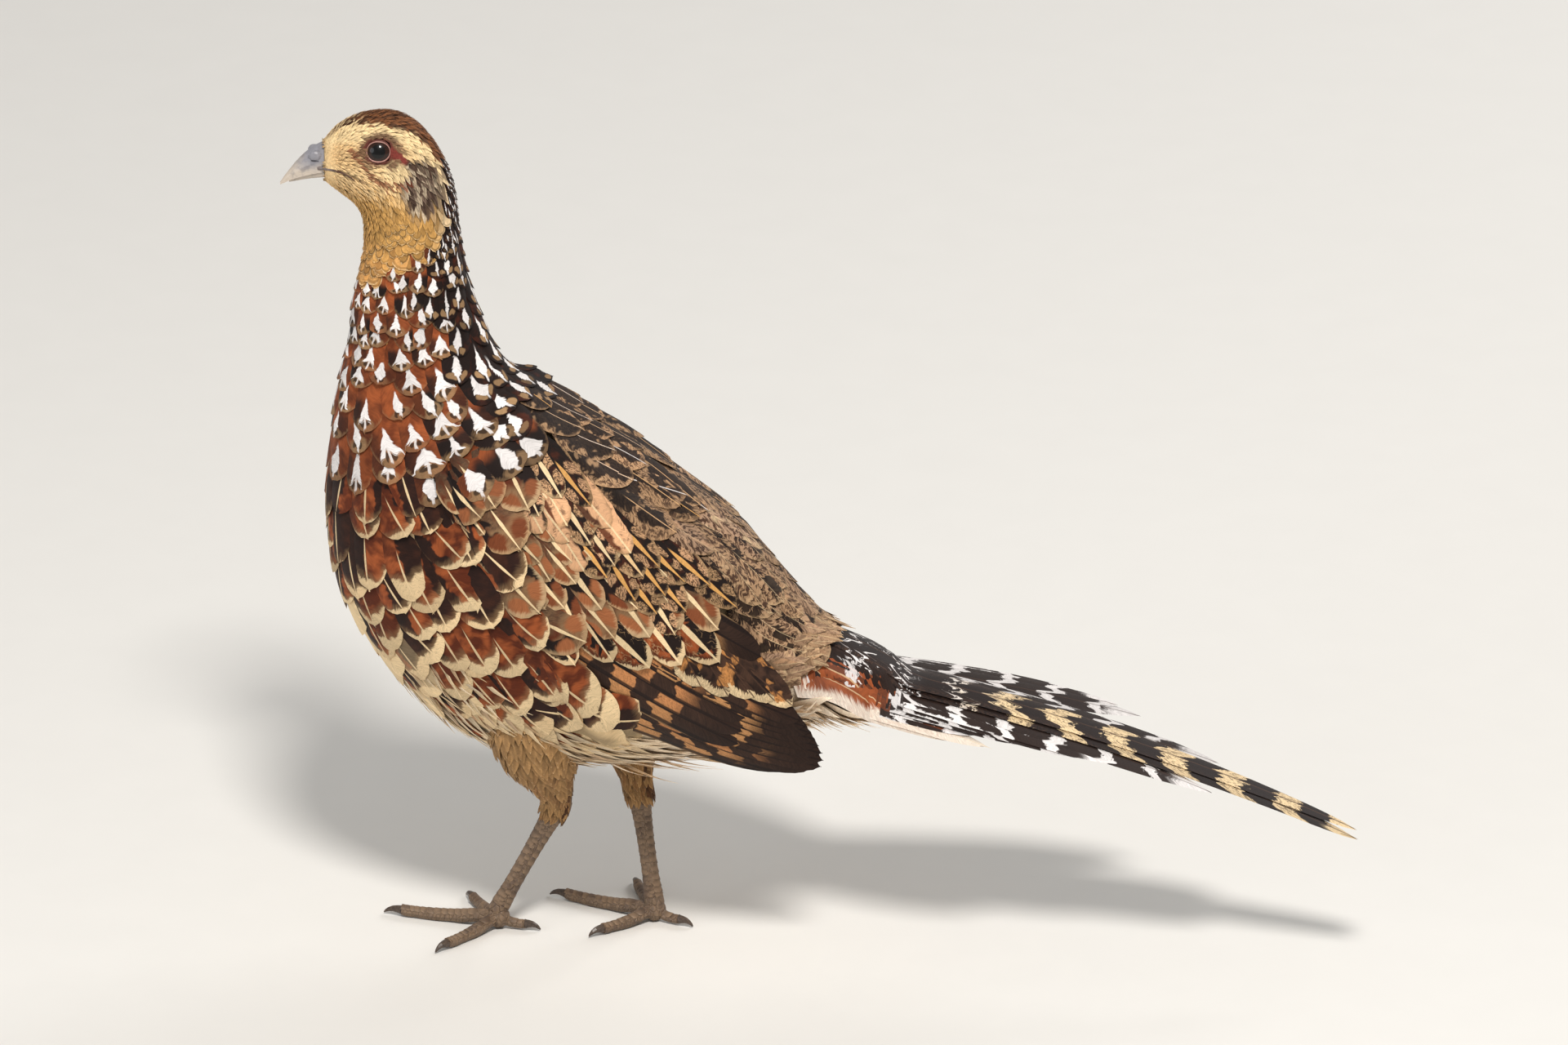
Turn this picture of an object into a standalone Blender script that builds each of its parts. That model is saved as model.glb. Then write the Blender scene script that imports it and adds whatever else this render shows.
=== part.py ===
"""A hen Reeves's pheasant standing at life size, as solid pieces.

The bird faces -X with its left side towards -Y. Its origin is on the floor,
under the middle of its box. Sizes are in millimetres, and MM turns them into
metres where points are made.
"""
import math

import bmesh
import bpy
from mathutils import Matrix, Vector

MM = 0.001
GAP = 0.3
THIN = 0.6

# Sections of the bird from the bill to the tail: x and z of the centre,
# half depth, half width, and how far the dorsal line leans to the tail.
SECTIONS = (
    ("bill root", -231, 386, 10, 8, 0),
    ("forehead", -224, 387, 16.5, 13, 0),
    ("crown", -214, 386.5, 23, 16, 7),
    ("hind crown", -204, 382, 28, 17, 20),
    ("nape", -197, 372, 28.5, 17.5, 35),
    ("throat", -192.5, 358, 26.5, 18, 52),
    ("upper neck", -192, 340, 25.5, 19, 67),
    ("mid neck", -192, 321, 28, 22, 75),
    ("lower neck", -190, 301, 32, 26, 78),
    ("neck root", -188, 279, 39.5, 32, 78),
    ("shoulder", -181, 256, 52, 40, 73),
    ("upper breast", -171, 234, 66, 48, 68),
    ("chest", -156, 210, 80, 54, 65),
    ("breast", -138, 187, 87, 57, 63),
    ("belly", -117, 165, 89, 57, 60),
    ("hind belly", -93, 145, 85, 54, 57),
    ("loin", -69, 134, 73, 48, 52),
    ("rump", -43, 132, 55, 40, 45),
    ("vent", -20, 135, 37, 31, 36),
    ("tail root", 2, 140, 21, 24, 24),
)
SECTION_NAMES = [row[0] for row in SECTIONS]
HEAD_END = SECTION_NAMES.index("throat")
NECK_END = SECTION_NAMES.index("shoulder")
TRUNK_END = SECTION_NAMES.index("tail root")

# The head is turned a little to the bird's left, and the neck follows it.
HEAD_TURN = math.radians(10)
TURN_X = -191.3
TURN_FROM_Z = 274
TURN_TO_Z = 340

# Bill: x, height of the ridge, height of the cutting edge, half width.
UPPER_BILL = (
    (-231, 395.4, 382.3, 6.5),
    (-236, 393.0, 381.4, 5.8),
    (-241, 389.0, 379.8, 4.7),
    (-245.5, 384.0, 378.0, 3.3),
    (-249, 379.4, 375.9, 1.8),
    (-251, 376.4, 374.4, 0.9),
    (-251.7, 375.2, 374.1, 0.5),
)
# Lower bill: x, height of its keel, half width.
LOWER_BILL = (
    (-231, 378.0, 5.8),
    (-236, 377.6, 5.0),
    (-241, 376.8, 3.8),
    (-245, 375.8, 2.3),
    (-247.6, 375.3, 0.9),
)
PALATE_ARCH = 0.075
NOSTRIL = (-235.4, 3.9, 389.6)

EYE_ON_SKIN = (-206.3, 15.2, 396.1)
EYE_AXIS = (-0.10, 0.93, 0.30)
EYE_RADIUS = 7.0
EYE_DEPTH = 5.0
LID_RING = 5.9
LID_THICKNESS = 1.05

GAPE_FRONT = (-231.5, 7.6, 382.0)
GAPE_BACK = (-218.5, 12.6, 379.4)

# Legs: hock, ankle, and the thigh's centre line with its half depths.
LEGS = {
    "left": {
        "hock": (-122, -11, 66),
        "ankle": (-151, -9, 9.5),
        "thigh": (
            ((-132, -17, 146), 22),
            ((-131, -24, 118), 25),
            ((-129, -23, 99), 20.5),
            ((-125.5, -17.5, 84), 13.5),
        ),
        "heading": 7,
        "inner": 50,
        "outer": -61,
    },
    "right": {
        "hock": (-87, 10, 67),
        "ankle": (-79.5, 9, 9.5),
        "thigh": (
            ((-104, 17, 144), 20),
            ((-101, 23, 116), 22),
            ((-96, 21, 97), 17.5),
            ((-91, 15.5, 83), 12),
        ),
        "heading": 20,
        "inner": -62,
        "outer": 48,
    },
}
# Toes: length without the claw, radius at the root, claw's length.
TOES = {
    "middle": (47, 3.6, 9),
    "outer": (34, 3.3, 8),
    "inner": (29, 3.3, 8),
    "hind": (13, 2.9, 7.5),
}
# Height of a toe's centre line along it, and the tarsus's half depth down it.
TOE_ARCH = ((0.0, 5.8), (0.22, 4.6), (0.45, 3.2), (0.7, 2.7), (0.88, 2.7), (1.0, 3.0))
SHANK_HALVES = (6.6, 6.4, 4.9, 4.0, 3.9, 4.5)

# Folded wing, on a chart laid over the flank: u runs from the wrist to the
# tip and v up towards the back.
WRIST = (-169.6, 239.4)
WING_TIP = (5.9, 105.3)
# Its arm, as u, lower v, upper v and thickness.
WING_ARM = (
    (-4, -4, 7, 2.4),
    (25, -20, 34, 6.0),
    (60, -30, 46, 6.0),
    (100, -34, 48, 5.6),
    (130, -30, 42, 4.2),
    (150, -24, 32, 2.4),
)
# Half width at which the closed feathers hang beside the narrowing trunk.
WING_SHEET = ((0, 18), (50, 26), (90, 44), (125, 51), (160, 49), (221, 39))
SHEET_FALL = 0.010
# Tiers of its feathers from the primaries up to the median coverts: count,
# width, lifts at root and tip, louver, bow, then the first and last root, the
# first and last tip on the chart, and how far the middle tips reach past them.
WING_TIERS = (
    (7, 13.5, (2.4, 3.6), 0.19, -2, (92, -29), (95, 2), (206.5, -13), (199.5, 16), 16.5),
    (6, 19, (3.4, 7.4), 0.12, 2, (100, -24), (78, 42), (178, -4), (152, 44), 3),
    (6, 20, (3.2, 7.6), 0.12, 1, (70, -23), (54, 39), (119, -29), (125, 45), 0),
    (5, 19, (3.2, 7.6), 0.12, 1, (36, -14), (34, 32), (80, -26), (84, 40), 0),
)

# Outlines of a wing and a tail feather: share of the length, of the width.
VANE_SHAPE = ((0, 0.5), (0.35, 0.9), (0.72, 1.0), (0.92, 0.72), (1.0, 0.3))
TAIL_SHAPE = ((0, 0.5), (0.25, 0.85), (0.6, 1.0), (0.88, 0.72), (1.0, 0.16))

# Tail feathers in pairs from the centre: length and angle from the midline of the
# right and the left one, and their width. The fan opens further to the right.
TAIL_FEATHERS = (
    ((250, 0.8), (250, 0.8), 25),
    ((183, 5), (183, 4.5), 25),
    ((148, 15), (140, 8), 24),
    ((138, 18.5), (127, 10), 23),
    ((124, 21.5), (106, 13), 22),
    ((108, 24), (84, 16), 21),
    ((92, 26.5), (78, 20.5), 20),
    ((78, 29), (73, 25.5), 18),
    ((64, 31.5), (60, 29.5), 16),
)
TAIL_ROOT = (2, 0, 140)
TAIL_SLOPE = math.tan(math.radians(9.5))
TAIL_DROOP = 5.2e-4
TAIL_CURL = 0.0012
TAIL_TOP = 5.0
TAIL_LAYER = 1.0
TAIL_FROM = 15
# Tail coverts round the quills: x, z, half depth, half width, lean.
TAIL_COVERTS = (
    (2, 140, 21, 24, 24),
    (12, 138.6, 18, 25.5, 19),
    (22, 136.8, 14.5, 26, 15),
    (31, 135.2, 11.5, 24.5, 12),
    (39, 133.8, 9, 21, 11),
    (48, 132.1, 6.6, 17.5, 10),
    (56, 130.6, 4.6, 14, 10),
)

COLOURS = {
    "plumage": ((0.36, 0.20, 0.10, 1), 0.8),
    "pale_plumage": ((0.62, 0.46, 0.27, 1), 0.8),
    "flight": ((0.12, 0.07, 0.045, 1), 0.7),
    "horn": ((0.42, 0.42, 0.43, 1), 0.4),
    "eye": ((0.02, 0.014, 0.012, 1), 0.08),
    "scute": ((0.33, 0.27, 0.22, 1), 0.55),
    "claw": ((0.16, 0.12, 0.10, 1), 0.4),
}


def spline(values, t):
    """Reads a smooth curve through evenly spaced values at place t."""
    last = len(values) - 1
    k = min(max(int(math.floor(t)), 0), last - 1)
    f = t - k
    before = values[max(k - 1, 0)]
    a = values[k]
    b = values[k + 1]
    after = values[min(k + 2, last)]
    rise_a = (b - before) / 2
    rise_b = (after - a) / 2
    return (a * (2 * f**3 - 3 * f**2 + 1) + rise_a * (f**3 - 2 * f**2 + f)
            + b * (3 * f**2 - 2 * f**3) + rise_b * (f**3 - f**2))


def along(rows, key):
    """Reads every column of a table at a value of its first column."""
    firsts = [row[0] for row in rows]
    upward = firsts[-1] > firsts[0]
    k = 0
    while k < len(rows) - 2 and (key > firsts[k + 1]) == upward:
        k += 1
    t = k + (key - firsts[k]) / (firsts[k + 1] - firsts[k])
    t = min(max(t, 0), len(rows) - 1)
    return [spline([row[c] for row in rows], t) for c in range(1, len(rows[0]))]


def smooth_step(value):
    value = min(max(value, 0), 1)
    return value * value * (3 - 2 * value)


def section(t):
    """Centre, dorsal line, tailward normal, half depth and width at t."""
    x, z, depth, width, lean = (spline([row[c] for row in SECTIONS], t) for c in range(1, 6))
    lean = math.radians(lean)
    centre = Vector((x, 0, z))
    dorsal = Vector((math.sin(lean), 0, math.cos(lean)))
    tailward = Vector((math.cos(lean), 0, -math.sin(lean)))
    return centre, dorsal, tailward, depth, width


def turned(point):
    """Turns a point with the head, fading out down the neck."""
    share = smooth_step((point.z - TURN_FROM_Z) / (TURN_TO_Z - TURN_FROM_Z))
    pivot = Vector((TURN_X, 0, 0))
    return Matrix.Rotation(HEAD_TURN * share, 3, "Z") @ (point - pivot) + pivot


def ring(t, sides, shift=0.0):
    """One section of the body as a closed ring of points."""
    centre, dorsal, tailward, depth, width = section(t)
    points = []
    for k in range(sides):
        angle = 2 * math.pi * k / sides
        point = centre + dorsal * (depth * math.cos(angle)) + tailward * shift
        point.y += width * math.sin(angle)
        points.append(turned(point))
    return points


def link(obj, collection, finish):
    collection.objects.link(obj)
    obj.data.materials.clear()
    obj.data.materials.append(MATERIALS[finish])
    return obj


def mesh_object(name, builder, collection, finish):
    """Closes a bmesh off as an object, in metres and in triangles."""
    bmesh.ops.recalc_face_normals(builder, faces=builder.faces[:])
    bmesh.ops.triangulate(builder, faces=builder.faces[:])
    bmesh.ops.scale(builder, vec=(MM, MM, MM), verts=builder.verts[:])
    mesh = bpy.data.meshes.new(name)
    builder.to_mesh(mesh)
    builder.free()
    return link(bpy.data.objects.new(name, mesh), collection, finish)


def loft(name, rings, collection, finish):
    """Skins a row of unlike closed rings and closes both ends."""
    builder = bmesh.new()
    loops = [[builder.verts.new(point) for point in points] for points in rings]
    for first, second in zip(loops, loops[1:]):
        for k in range(len(first)):
            j = (k + 1) % len(first)
            builder.faces.new((first[k], first[j], second[j], second[k]))
    builder.faces.new(loops[0])
    builder.faces.new(loops[-1])
    return mesh_object(name, builder, collection, finish)


def tube_rings(path, radii, reference, sides):
    """Rings square to a path, each with a radius across and one upright."""
    rings = []
    for k, centre in enumerate(path):
        ahead = path[min(k + 1, len(path) - 1)] - path[max(k - 1, 0)]
        across = ahead.cross(reference).normalized()
        upright = across.cross(ahead).normalized()
        wide, high = radii[k]
        rings.append([
            centre + across * (wide * math.cos(2 * math.pi * j / sides))
            + upright * (high * math.sin(2 * math.pi * j / sides))
            for j in range(sides)
        ])
    return rings


def smooth_path(points, count):
    """Reads count points from a smooth curve through a few."""
    points = [Vector(point) for point in points]
    last = len(points) - 1
    return [spline(points, last * k / (count - 1)) for k in range(count)]


def applied(obj):
    """Replaces a mesh by its evaluated shape and clears its modifiers."""
    bpy.context.view_layer.update()
    graph = bpy.context.evaluated_depsgraph_get()
    mesh = bpy.data.meshes.new_from_object(obj.evaluated_get(graph))
    old = obj.data
    obj.modifiers.clear()
    obj.data = mesh
    bpy.data.meshes.remove(old)


def fuse(obj, pieces):
    """Joins pieces into an object by one union and removes them."""
    group = bpy.data.collections.new(obj.name + "_pieces")
    bpy.context.scene.collection.children.link(group)
    for piece in pieces:
        for holder in list(piece.users_collection):
            holder.objects.unlink(piece)
        group.objects.link(piece)
    union = obj.modifiers.new("union", "BOOLEAN")
    union.operation = "UNION"
    union.operand_type = "COLLECTION"
    union.collection = group
    union.solver = "MANIFOLD"
    applied(obj)
    for piece in list(group.objects):
        bpy.data.objects.remove(piece)
    bpy.data.collections.remove(group)


def cut(obj, cutter):
    """Takes a cutter out of an object."""
    difference = obj.modifiers.new("cut", "BOOLEAN")
    difference.operation = "DIFFERENCE"
    difference.object = cutter
    applied(obj)


def keep_largest(obj):
    """Keeps only the largest closed surface of a mesh, in clean triangles."""
    builder = bmesh.new()
    builder.from_mesh(obj.data)
    bmesh.ops.remove_doubles(builder, verts=builder.verts[:], dist=2e-6)
    bmesh.ops.dissolve_degenerate(builder, edges=builder.edges[:], dist=2e-6)
    bmesh.ops.triangulate(builder, faces=builder.faces[:])
    islands = []
    unseen = set(builder.faces)
    while unseen:
        stack = [unseen.pop()]
        island = []
        while stack:
            face = stack.pop()
            island.append(face)
            for edge in face.edges:
                for other in edge.link_faces:
                    if other in unseen:
                        unseen.remove(other)
                        stack.append(other)
        volume = sum(f.verts[0].co.dot(f.verts[1].co.cross(f.verts[2].co)) for f in island)
        islands.append((abs(volume), island))
    islands.sort(key=lambda pair: pair[0])
    for _, island in islands[:-1]:
        bmesh.ops.delete(builder, geom=island, context="FACES")
    loose = [vert for vert in builder.verts if not vert.link_faces]
    bmesh.ops.delete(builder, geom=loose, context="VERTS")
    builder.to_mesh(obj.data)
    builder.free()
    obj.data.shade_smooth()
    obj.data.set_sharp_from_angle(angle=math.radians(50))


def as_cutter(obj):
    """Keeps a shape as a guide that is neither built nor rendered."""
    obj.hide_render = True
    obj.display_type = "WIRE"
    return obj


def sphere(name, centre, radius, collection, finish, segments=20, rings=14, scale=(1, 1, 1)):
    builder = bmesh.new()
    bmesh.ops.create_uvsphere(builder, u_segments=segments, v_segments=rings, radius=radius)
    bmesh.ops.scale(builder, vec=scale, verts=builder.verts[:])
    bmesh.ops.translate(builder, vec=centre, verts=builder.verts[:])
    return mesh_object(name, builder, collection, finish)


def body_loft(name, first, last, sides, steps, finish):
    """A stretch of the body between two sections, drawn back at its seams."""
    rings = []
    for k in range(steps + 1):
        t = first + (last - first) * k / steps
        shift = 0.0
        if k == 0 and first > 0:
            shift = GAP / 2
        if k == steps:
            shift = -GAP / 2
        rings.append(ring(t, sides, shift))
    return loft(name, rings, PARTS, finish)


def head_place(point, side):
    """A place on the head, mirrored for the side and turned with it."""
    return turned(Vector((point[0], side * point[1], point[2])))


def eye_frame(side):
    on_skin = head_place(EYE_ON_SKIN, side)
    axis = Vector((EYE_AXIS[0], side * EYE_AXIS[1], EYE_AXIS[2])).normalized()
    axis = Matrix.Rotation(HEAD_TURN, 3, "Z") @ axis
    return on_skin, axis


def lid_ring(side):
    """The swollen rim of the lids round an eye."""
    on_skin, axis = eye_frame(side)
    turn = axis.to_track_quat("Z", "Y").to_matrix()
    path = []
    for k in range(16):
        angle = 2 * math.pi * k / 16
        path.append(on_skin + turn @ Vector((
            LID_RING * math.cos(angle), LID_RING * math.sin(angle), 0)))
    builder = bmesh.new()
    loops = []
    for point in path:
        outward = (point - on_skin).normalized()
        loops.append([
            builder.verts.new(
                point + outward * (LID_THICKNESS * math.cos(2 * math.pi * j / 6))
                + axis * (LID_THICKNESS * math.sin(2 * math.pi * j / 6)))
            for j in range(6)
        ])
    for k in range(len(loops)):
        first = loops[k]
        second = loops[(k + 1) % len(loops)]
        for j in range(6):
            i = (j + 1) % 6
            builder.faces.new((first[j], first[i], second[i], second[j]))
    return mesh_object("lid", builder, GUIDES, "pale_plumage")


def mouth_groove(side):
    """A shallow wedge along the line of the mouth behind the bill."""
    front = head_place(GAPE_FRONT, side)
    back = head_place(GAPE_BACK, side)
    path = [front + (front - back) * 0.15, (front + back) / 2 + Vector((0, 0, 0.7)), back]
    radii = [(0.45, 2.0), (0.5, 2.0), (0.2, 1.2)]
    outward = Vector((-0.3, side, 0.1))
    rings = tube_rings(path, radii, outward, 6)
    return as_cutter(loft("mouth_groove", rings, GUIDES, "pale_plumage"))


def make_head():
    head = body_loft("head", 0, HEAD_END, 26, 12, "pale_plumage")
    fuse(head, [lid_ring(-1), lid_ring(1)])
    for side, name in ((-1, "left"), (1, "right")):
        on_skin, axis = eye_frame(side)
        centre = on_skin - axis * EYE_DEPTH
        socket = sphere("socket_" + name, centre, EYE_RADIUS + GAP, GUIDES, "eye", 16, 10)
        cut(head, as_cutter(socket))
        cut(head, mouth_groove(side))
        sphere("eye_" + name, centre, EYE_RADIUS, PARTS, "eye", 16, 10)
    keep_largest(head)


def make_bill():
    """Both halves of the bill, closed, with the nostrils' covers."""
    rings = []
    steps = 9
    for k in range(steps + 1):
        x = UPPER_BILL[0][0] + (UPPER_BILL[-1][0] - UPPER_BILL[0][0]) * k / steps
        top, edge, width = along(UPPER_BILL, x)
        arch = [math.pi * j / 8 for j in range(9)]
        points = [(x, -width * math.cos(a), edge + (top - edge) * math.sin(a) ** 0.85) for a in arch]
        palate = edge + PALATE_ARCH * width
        points += [(x, width * 0.5, palate), (x, -width * 0.5, palate)]
        shift = -GAP if k == 0 else 0
        rings.append([turned(Vector((px + shift, py, pz))) for px, py, pz in points])
    upper = loft("bill_upper", rings, PARTS, "horn")
    covers = []
    for side in (-1, 1):
        cover = sphere("nostril_cover", head_place(NOSTRIL, side), 1.0, GUIDES, "horn",
                       10, 7, (3.4, 2.0, 2.7))
        covers.append(cover)
    fuse(upper, covers)
    for side in (-1, 1):
        slit = head_place((NOSTRIL[0] - 0.4, NOSTRIL[1] + 1.6, NOSTRIL[2] - 2.1), side)
        cut(upper, as_cutter(sphere("nostril", slit, 1.0, GUIDES, "horn", 8, 6, (2.3, 1.6, 0.7))))
    keep_largest(upper)

    rings = []
    steps = 8
    for k in range(steps + 1):
        x = LOWER_BILL[0][0] + (LOWER_BILL[-1][0] - LOWER_BILL[0][0]) * k / steps
        keel, width = along(LOWER_BILL, x)
        edge = along(UPPER_BILL, x)[1] - GAP - 0.1
        arch = [math.pi * j / 8 for j in range(9)]
        points = [(x, width * math.cos(a), edge - (edge - keel) * math.sin(a) ** 0.8) for a in arch]
        shift = -GAP if k == 0 else 0
        rings.append([turned(Vector((px + shift, py, pz))) for px, py, pz in points])
    lower = loft("bill_lower", rings, PARTS, "horn")
    keep_largest(lower)


def make_torso():
    body_loft("neck", HEAD_END, NECK_END, 32, 10, "plumage")
    body_loft("torso", NECK_END, TRUNK_END, 34, 18, "plumage")


def swollen_torso():
    """The torso grown by the gap, to clear what meets it."""
    steps = 18
    rings = []
    for k in range(steps + 1):
        t = NECK_END + (TRUNK_END - NECK_END) * k / steps
        centre, dorsal, _, depth, width = section(t)
        points = []
        for j in range(34):
            angle = 2 * math.pi * j / 34
            point = centre + dorsal * ((depth + 0.5) * math.cos(angle))
            point.y += (width + 0.5) * math.sin(angle)
            points.append(point)
        rings.append(points)
    return as_cutter(loft("torso_room", rings, GUIDES, "plumage"))


def wing_axes():
    wrist = Vector((WRIST[0], 0, WRIST[1]))
    tip = Vector((WING_TIP[0], 0, WING_TIP[1]))
    u_axis = (tip - wrist).normalized()
    v_axis = Vector((-u_axis.z, 0, u_axis.x))
    return wrist, u_axis, v_axis, (tip - wrist).length


def flank_width(x, z):
    """Half width of the trunk at a place in the side view."""
    low = NECK_END - 1.0
    high = float(TRUNK_END)
    for _ in range(24):
        middle = (low + high) / 2
        centre, _, tailward, _, _ = section(middle)
        ahead = (x - centre.x) * tailward.x + (z - centre.z) * tailward.z
        if ahead > 0:
            low = middle
        else:
            high = middle
    centre, dorsal, _, depth, width = section((low + high) / 2)
    share = ((x - centre.x) * dorsal.x + (z - centre.z) * dorsal.z) / depth
    return width * math.sqrt(max(1 - share * share, 0))


def wing_width(u, v):
    """Half width of the bird over the folded wing's chart."""
    wrist, u_axis, v_axis, length = wing_axes()
    place = wrist + u_axis * u + v_axis * v
    flank = flank_width(place.x, place.z)
    sheet, = along(WING_SHEET, min(max(u, 0), length))
    sheet -= SHEET_FALL * (v + 8) ** 2
    blend = 5.0
    return (flank + sheet + math.sqrt((flank - sheet) ** 2 + blend ** 2)) / 2


def on_wing(u, v, lift):
    """A point over the left flank, raised from the wing's inner face."""
    wrist, u_axis, v_axis, _ = wing_axes()
    step = 2.0
    slope_u = (wing_width(u + step, v) - wing_width(u - step, v)) / (2 * step)
    slope_v = (wing_width(u, v + step) - wing_width(u, v - step)) / (2 * step)
    normal = (Vector((0, -1, 0)) - u_axis * slope_u - v_axis * slope_v).normalized()
    place = wrist + u_axis * u + v_axis * v
    place.y = -wing_width(u, v)
    return place + normal * lift


def wing_arm():
    """The padded arm that carries the wing's feathers."""
    rings = []
    steps = 10
    across = 7
    first = WING_ARM[0][0]
    last = WING_ARM[-1][0]
    for k in range(steps + 1):
        u = first + (last - first) * k / steps
        low, high, thick = along(WING_ARM, u)
        points = []
        for j in range(across):
            share = j / (across - 1)
            bulge = 1.5 + (thick - 1.5) * math.sin(math.pi * share) ** 0.6
            points.append(on_wing(u, low + (high - low) * share, 0.6 + bulge))
        for j in reversed(range(across)):
            share = j / (across - 1)
            points.append(on_wing(u, low + (high - low) * share, 0.6))
        rings.append(points)
    return loft("wing_left", rings, PARTS, "plumage")


def thin_plate(name, rows, finish):
    """A closed vane from rows of three points, split alike on both faces."""
    builder = bmesh.new()
    count = len(rows)
    across = len(rows[0])
    faces = []
    for side in (1, -1):
        layer = []
        for i, row in enumerate(rows):
            ahead = (rows[min(i + 1, count - 1)][1] - rows[max(i - 1, 0)][1]).normalized()
            verts = []
            for j, point in enumerate(row):
                spread = row[min(j + 1, across - 1)] - row[max(j - 1, 0)]
                normal = ahead.cross(spread).normalized()
                verts.append(builder.verts.new(point + normal * (side * THIN / 2)))
            layer.append(verts)
        faces.append(layer)
        for i in range(count - 1):
            for j in range(across - 1):
                a, b = layer[i][j], layer[i][j + 1]
                c, d = layer[i + 1][j + 1], layer[i + 1][j]
                if j < across // 2:
                    builder.faces.new((a, b, c))
                    builder.faces.new((a, c, d))
                else:
                    builder.faces.new((a, b, d))
                    builder.faces.new((b, c, d))
    upper, lower = faces
    rim = [(i, 0) for i in range(count)]
    rim += [(count - 1, j) for j in range(1, across)]
    rim += [(i, across - 1) for i in reversed(range(count - 1))]
    rim += [(0, j) for j in reversed(range(1, across - 1))]
    for (i, j), (m, n) in zip(rim, rim[1:] + rim[:1]):
        builder.faces.new((upper[i][j], upper[m][n], lower[m][n]))
        builder.faces.new((upper[i][j], lower[m][n], lower[i][j]))
    return mesh_object(name, builder, GUIDES, finish)


def wing_vane(root, tip, width, lifts, louver, bow, shape):
    """A feather of the folded wing, in the chart's own places."""
    ahead = (tip - root).normalized()
    across = Vector((-ahead.y, ahead.x))
    rows = []
    for share, spread in shape:
        middle = root.lerp(tip, share) + across * (bow * math.sin(math.pi * share))
        lift = lifts[0] + (lifts[1] - lifts[0]) * share ** 0.7
        row = []
        for side in (-1, 0, 1):
            offset = side * spread * width / 2
            place = middle + across * offset
            row.append(on_wing(place.x, place.y, lift - louver * offset))
        rows.append(row)
    return thin_plate("vane", rows, "flight")


def wing_feathers():
    """Tiers of primaries, secondaries, greater and median coverts."""
    vanes = []
    for count, width, lifts, louver, bow, root_a, root_b, tip_a, tip_b, reach in WING_TIERS:
        for k in range(count):
            share = k / (count - 1)
            root = Vector(root_a).lerp(Vector(root_b), share)
            tip = Vector(tip_a).lerp(Vector(tip_b), share)
            tip.x += reach * 4 * share * (1 - share)
            vanes.append(wing_vane(root, tip, width, lifts, louver, bow, VANE_SHAPE))
    return vanes


def mirrored_copy(obj, name):
    """The same piece on the bird's other side."""
    mesh = obj.data.copy()
    mesh.transform(Matrix.Scale(-1, 4, (0, 1, 0)))
    mesh.flip_normals()
    other = bpy.data.objects.new(name, mesh)
    PARTS.objects.link(other)
    return other


def make_wings():
    arm = wing_arm()
    fuse(arm, wing_feathers())
    keep_largest(arm)
    mirrored_copy(arm, "wing_right")


def tail_place(reach, angle, offset, level):
    """A point of the tail's fan at a reach along a feather's line."""
    x = reach * math.cos(angle) - offset * math.sin(angle)
    y = reach * math.sin(angle) + offset * math.cos(angle)
    z = TAIL_ROOT[2] - TAIL_SLOPE * x - TAIL_DROOP * x * x + level - TAIL_CURL * offset * offset
    return Vector((TAIL_ROOT[0] + x, y, z))


def tail_vane(length, angle, width, level):
    rows = []
    for share, spread in TAIL_SHAPE:
        reach = TAIL_FROM + (length - TAIL_FROM) * share
        rows.append([
            tail_place(reach, angle, side * spread * width / 2, level) for side in (-1, 0, 1)
        ])
    return thin_plate("vane", rows, "flight")


def make_tail():
    rings = []
    steps = 6
    for k in range(steps + 1):
        row = [spline([r[c] for r in TAIL_COVERTS], k * (len(TAIL_COVERTS) - 1) / steps)
               for c in range(5)]
        x, z, depth, width, lean = row
        lean = math.radians(lean)
        centre = Vector((x, 0, z))
        dorsal = Vector((math.sin(lean), 0, math.cos(lean)))
        shift = GAP / 2 if k == 0 else 0
        points = []
        for j in range(28):
            angle = 2 * math.pi * j / 28
            point = centre + dorsal * (depth * math.cos(angle))
            point += Vector((dorsal.z, 0, -dorsal.x)) * shift
            point.y += width * math.sin(angle)
            points.append(point)
        rings.append(points)
    tail = loft("tail", rings, PARTS, "plumage")
    vanes = []
    level = TAIL_TOP
    for k, (right, left, width) in enumerate(TAIL_FEATHERS):
        for side, (length, degrees) in ((1, right), (-1, left)):
            vanes.append(tail_vane(length, side * math.radians(degrees), width, level))
            if k < 2 or side == -1:
                level -= TAIL_LAYER
    fuse(tail, vanes)
    keep_largest(tail)


def make_thigh(side, leg, room):
    """The feathered leg from the belly to the hock, clear of the trunk."""
    hock = Vector(leg["hock"])
    stations = [Vector(point) for point, _ in leg["thigh"]]
    halves = [half for _, half in leg["thigh"]]
    lead = (hock - stations[-1]).normalized()
    end = hock - lead * 5.0
    path_points = stations + [end]
    path = smooth_path(path_points, 11)
    sizes = [spline(halves + [7.4], (len(path_points) - 1) * k / 10) for k in range(11)]
    radii = [(half * 0.8, half) for half in sizes]
    rings = tube_rings(path, radii, Vector((1, 0, 0)), 18)
    thigh = loft("thigh_" + side, rings, PARTS, "pale_plumage")
    cut(thigh, room)
    keep_largest(thigh)
    return end, (path[-1] - path[-2]).normalized()


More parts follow.
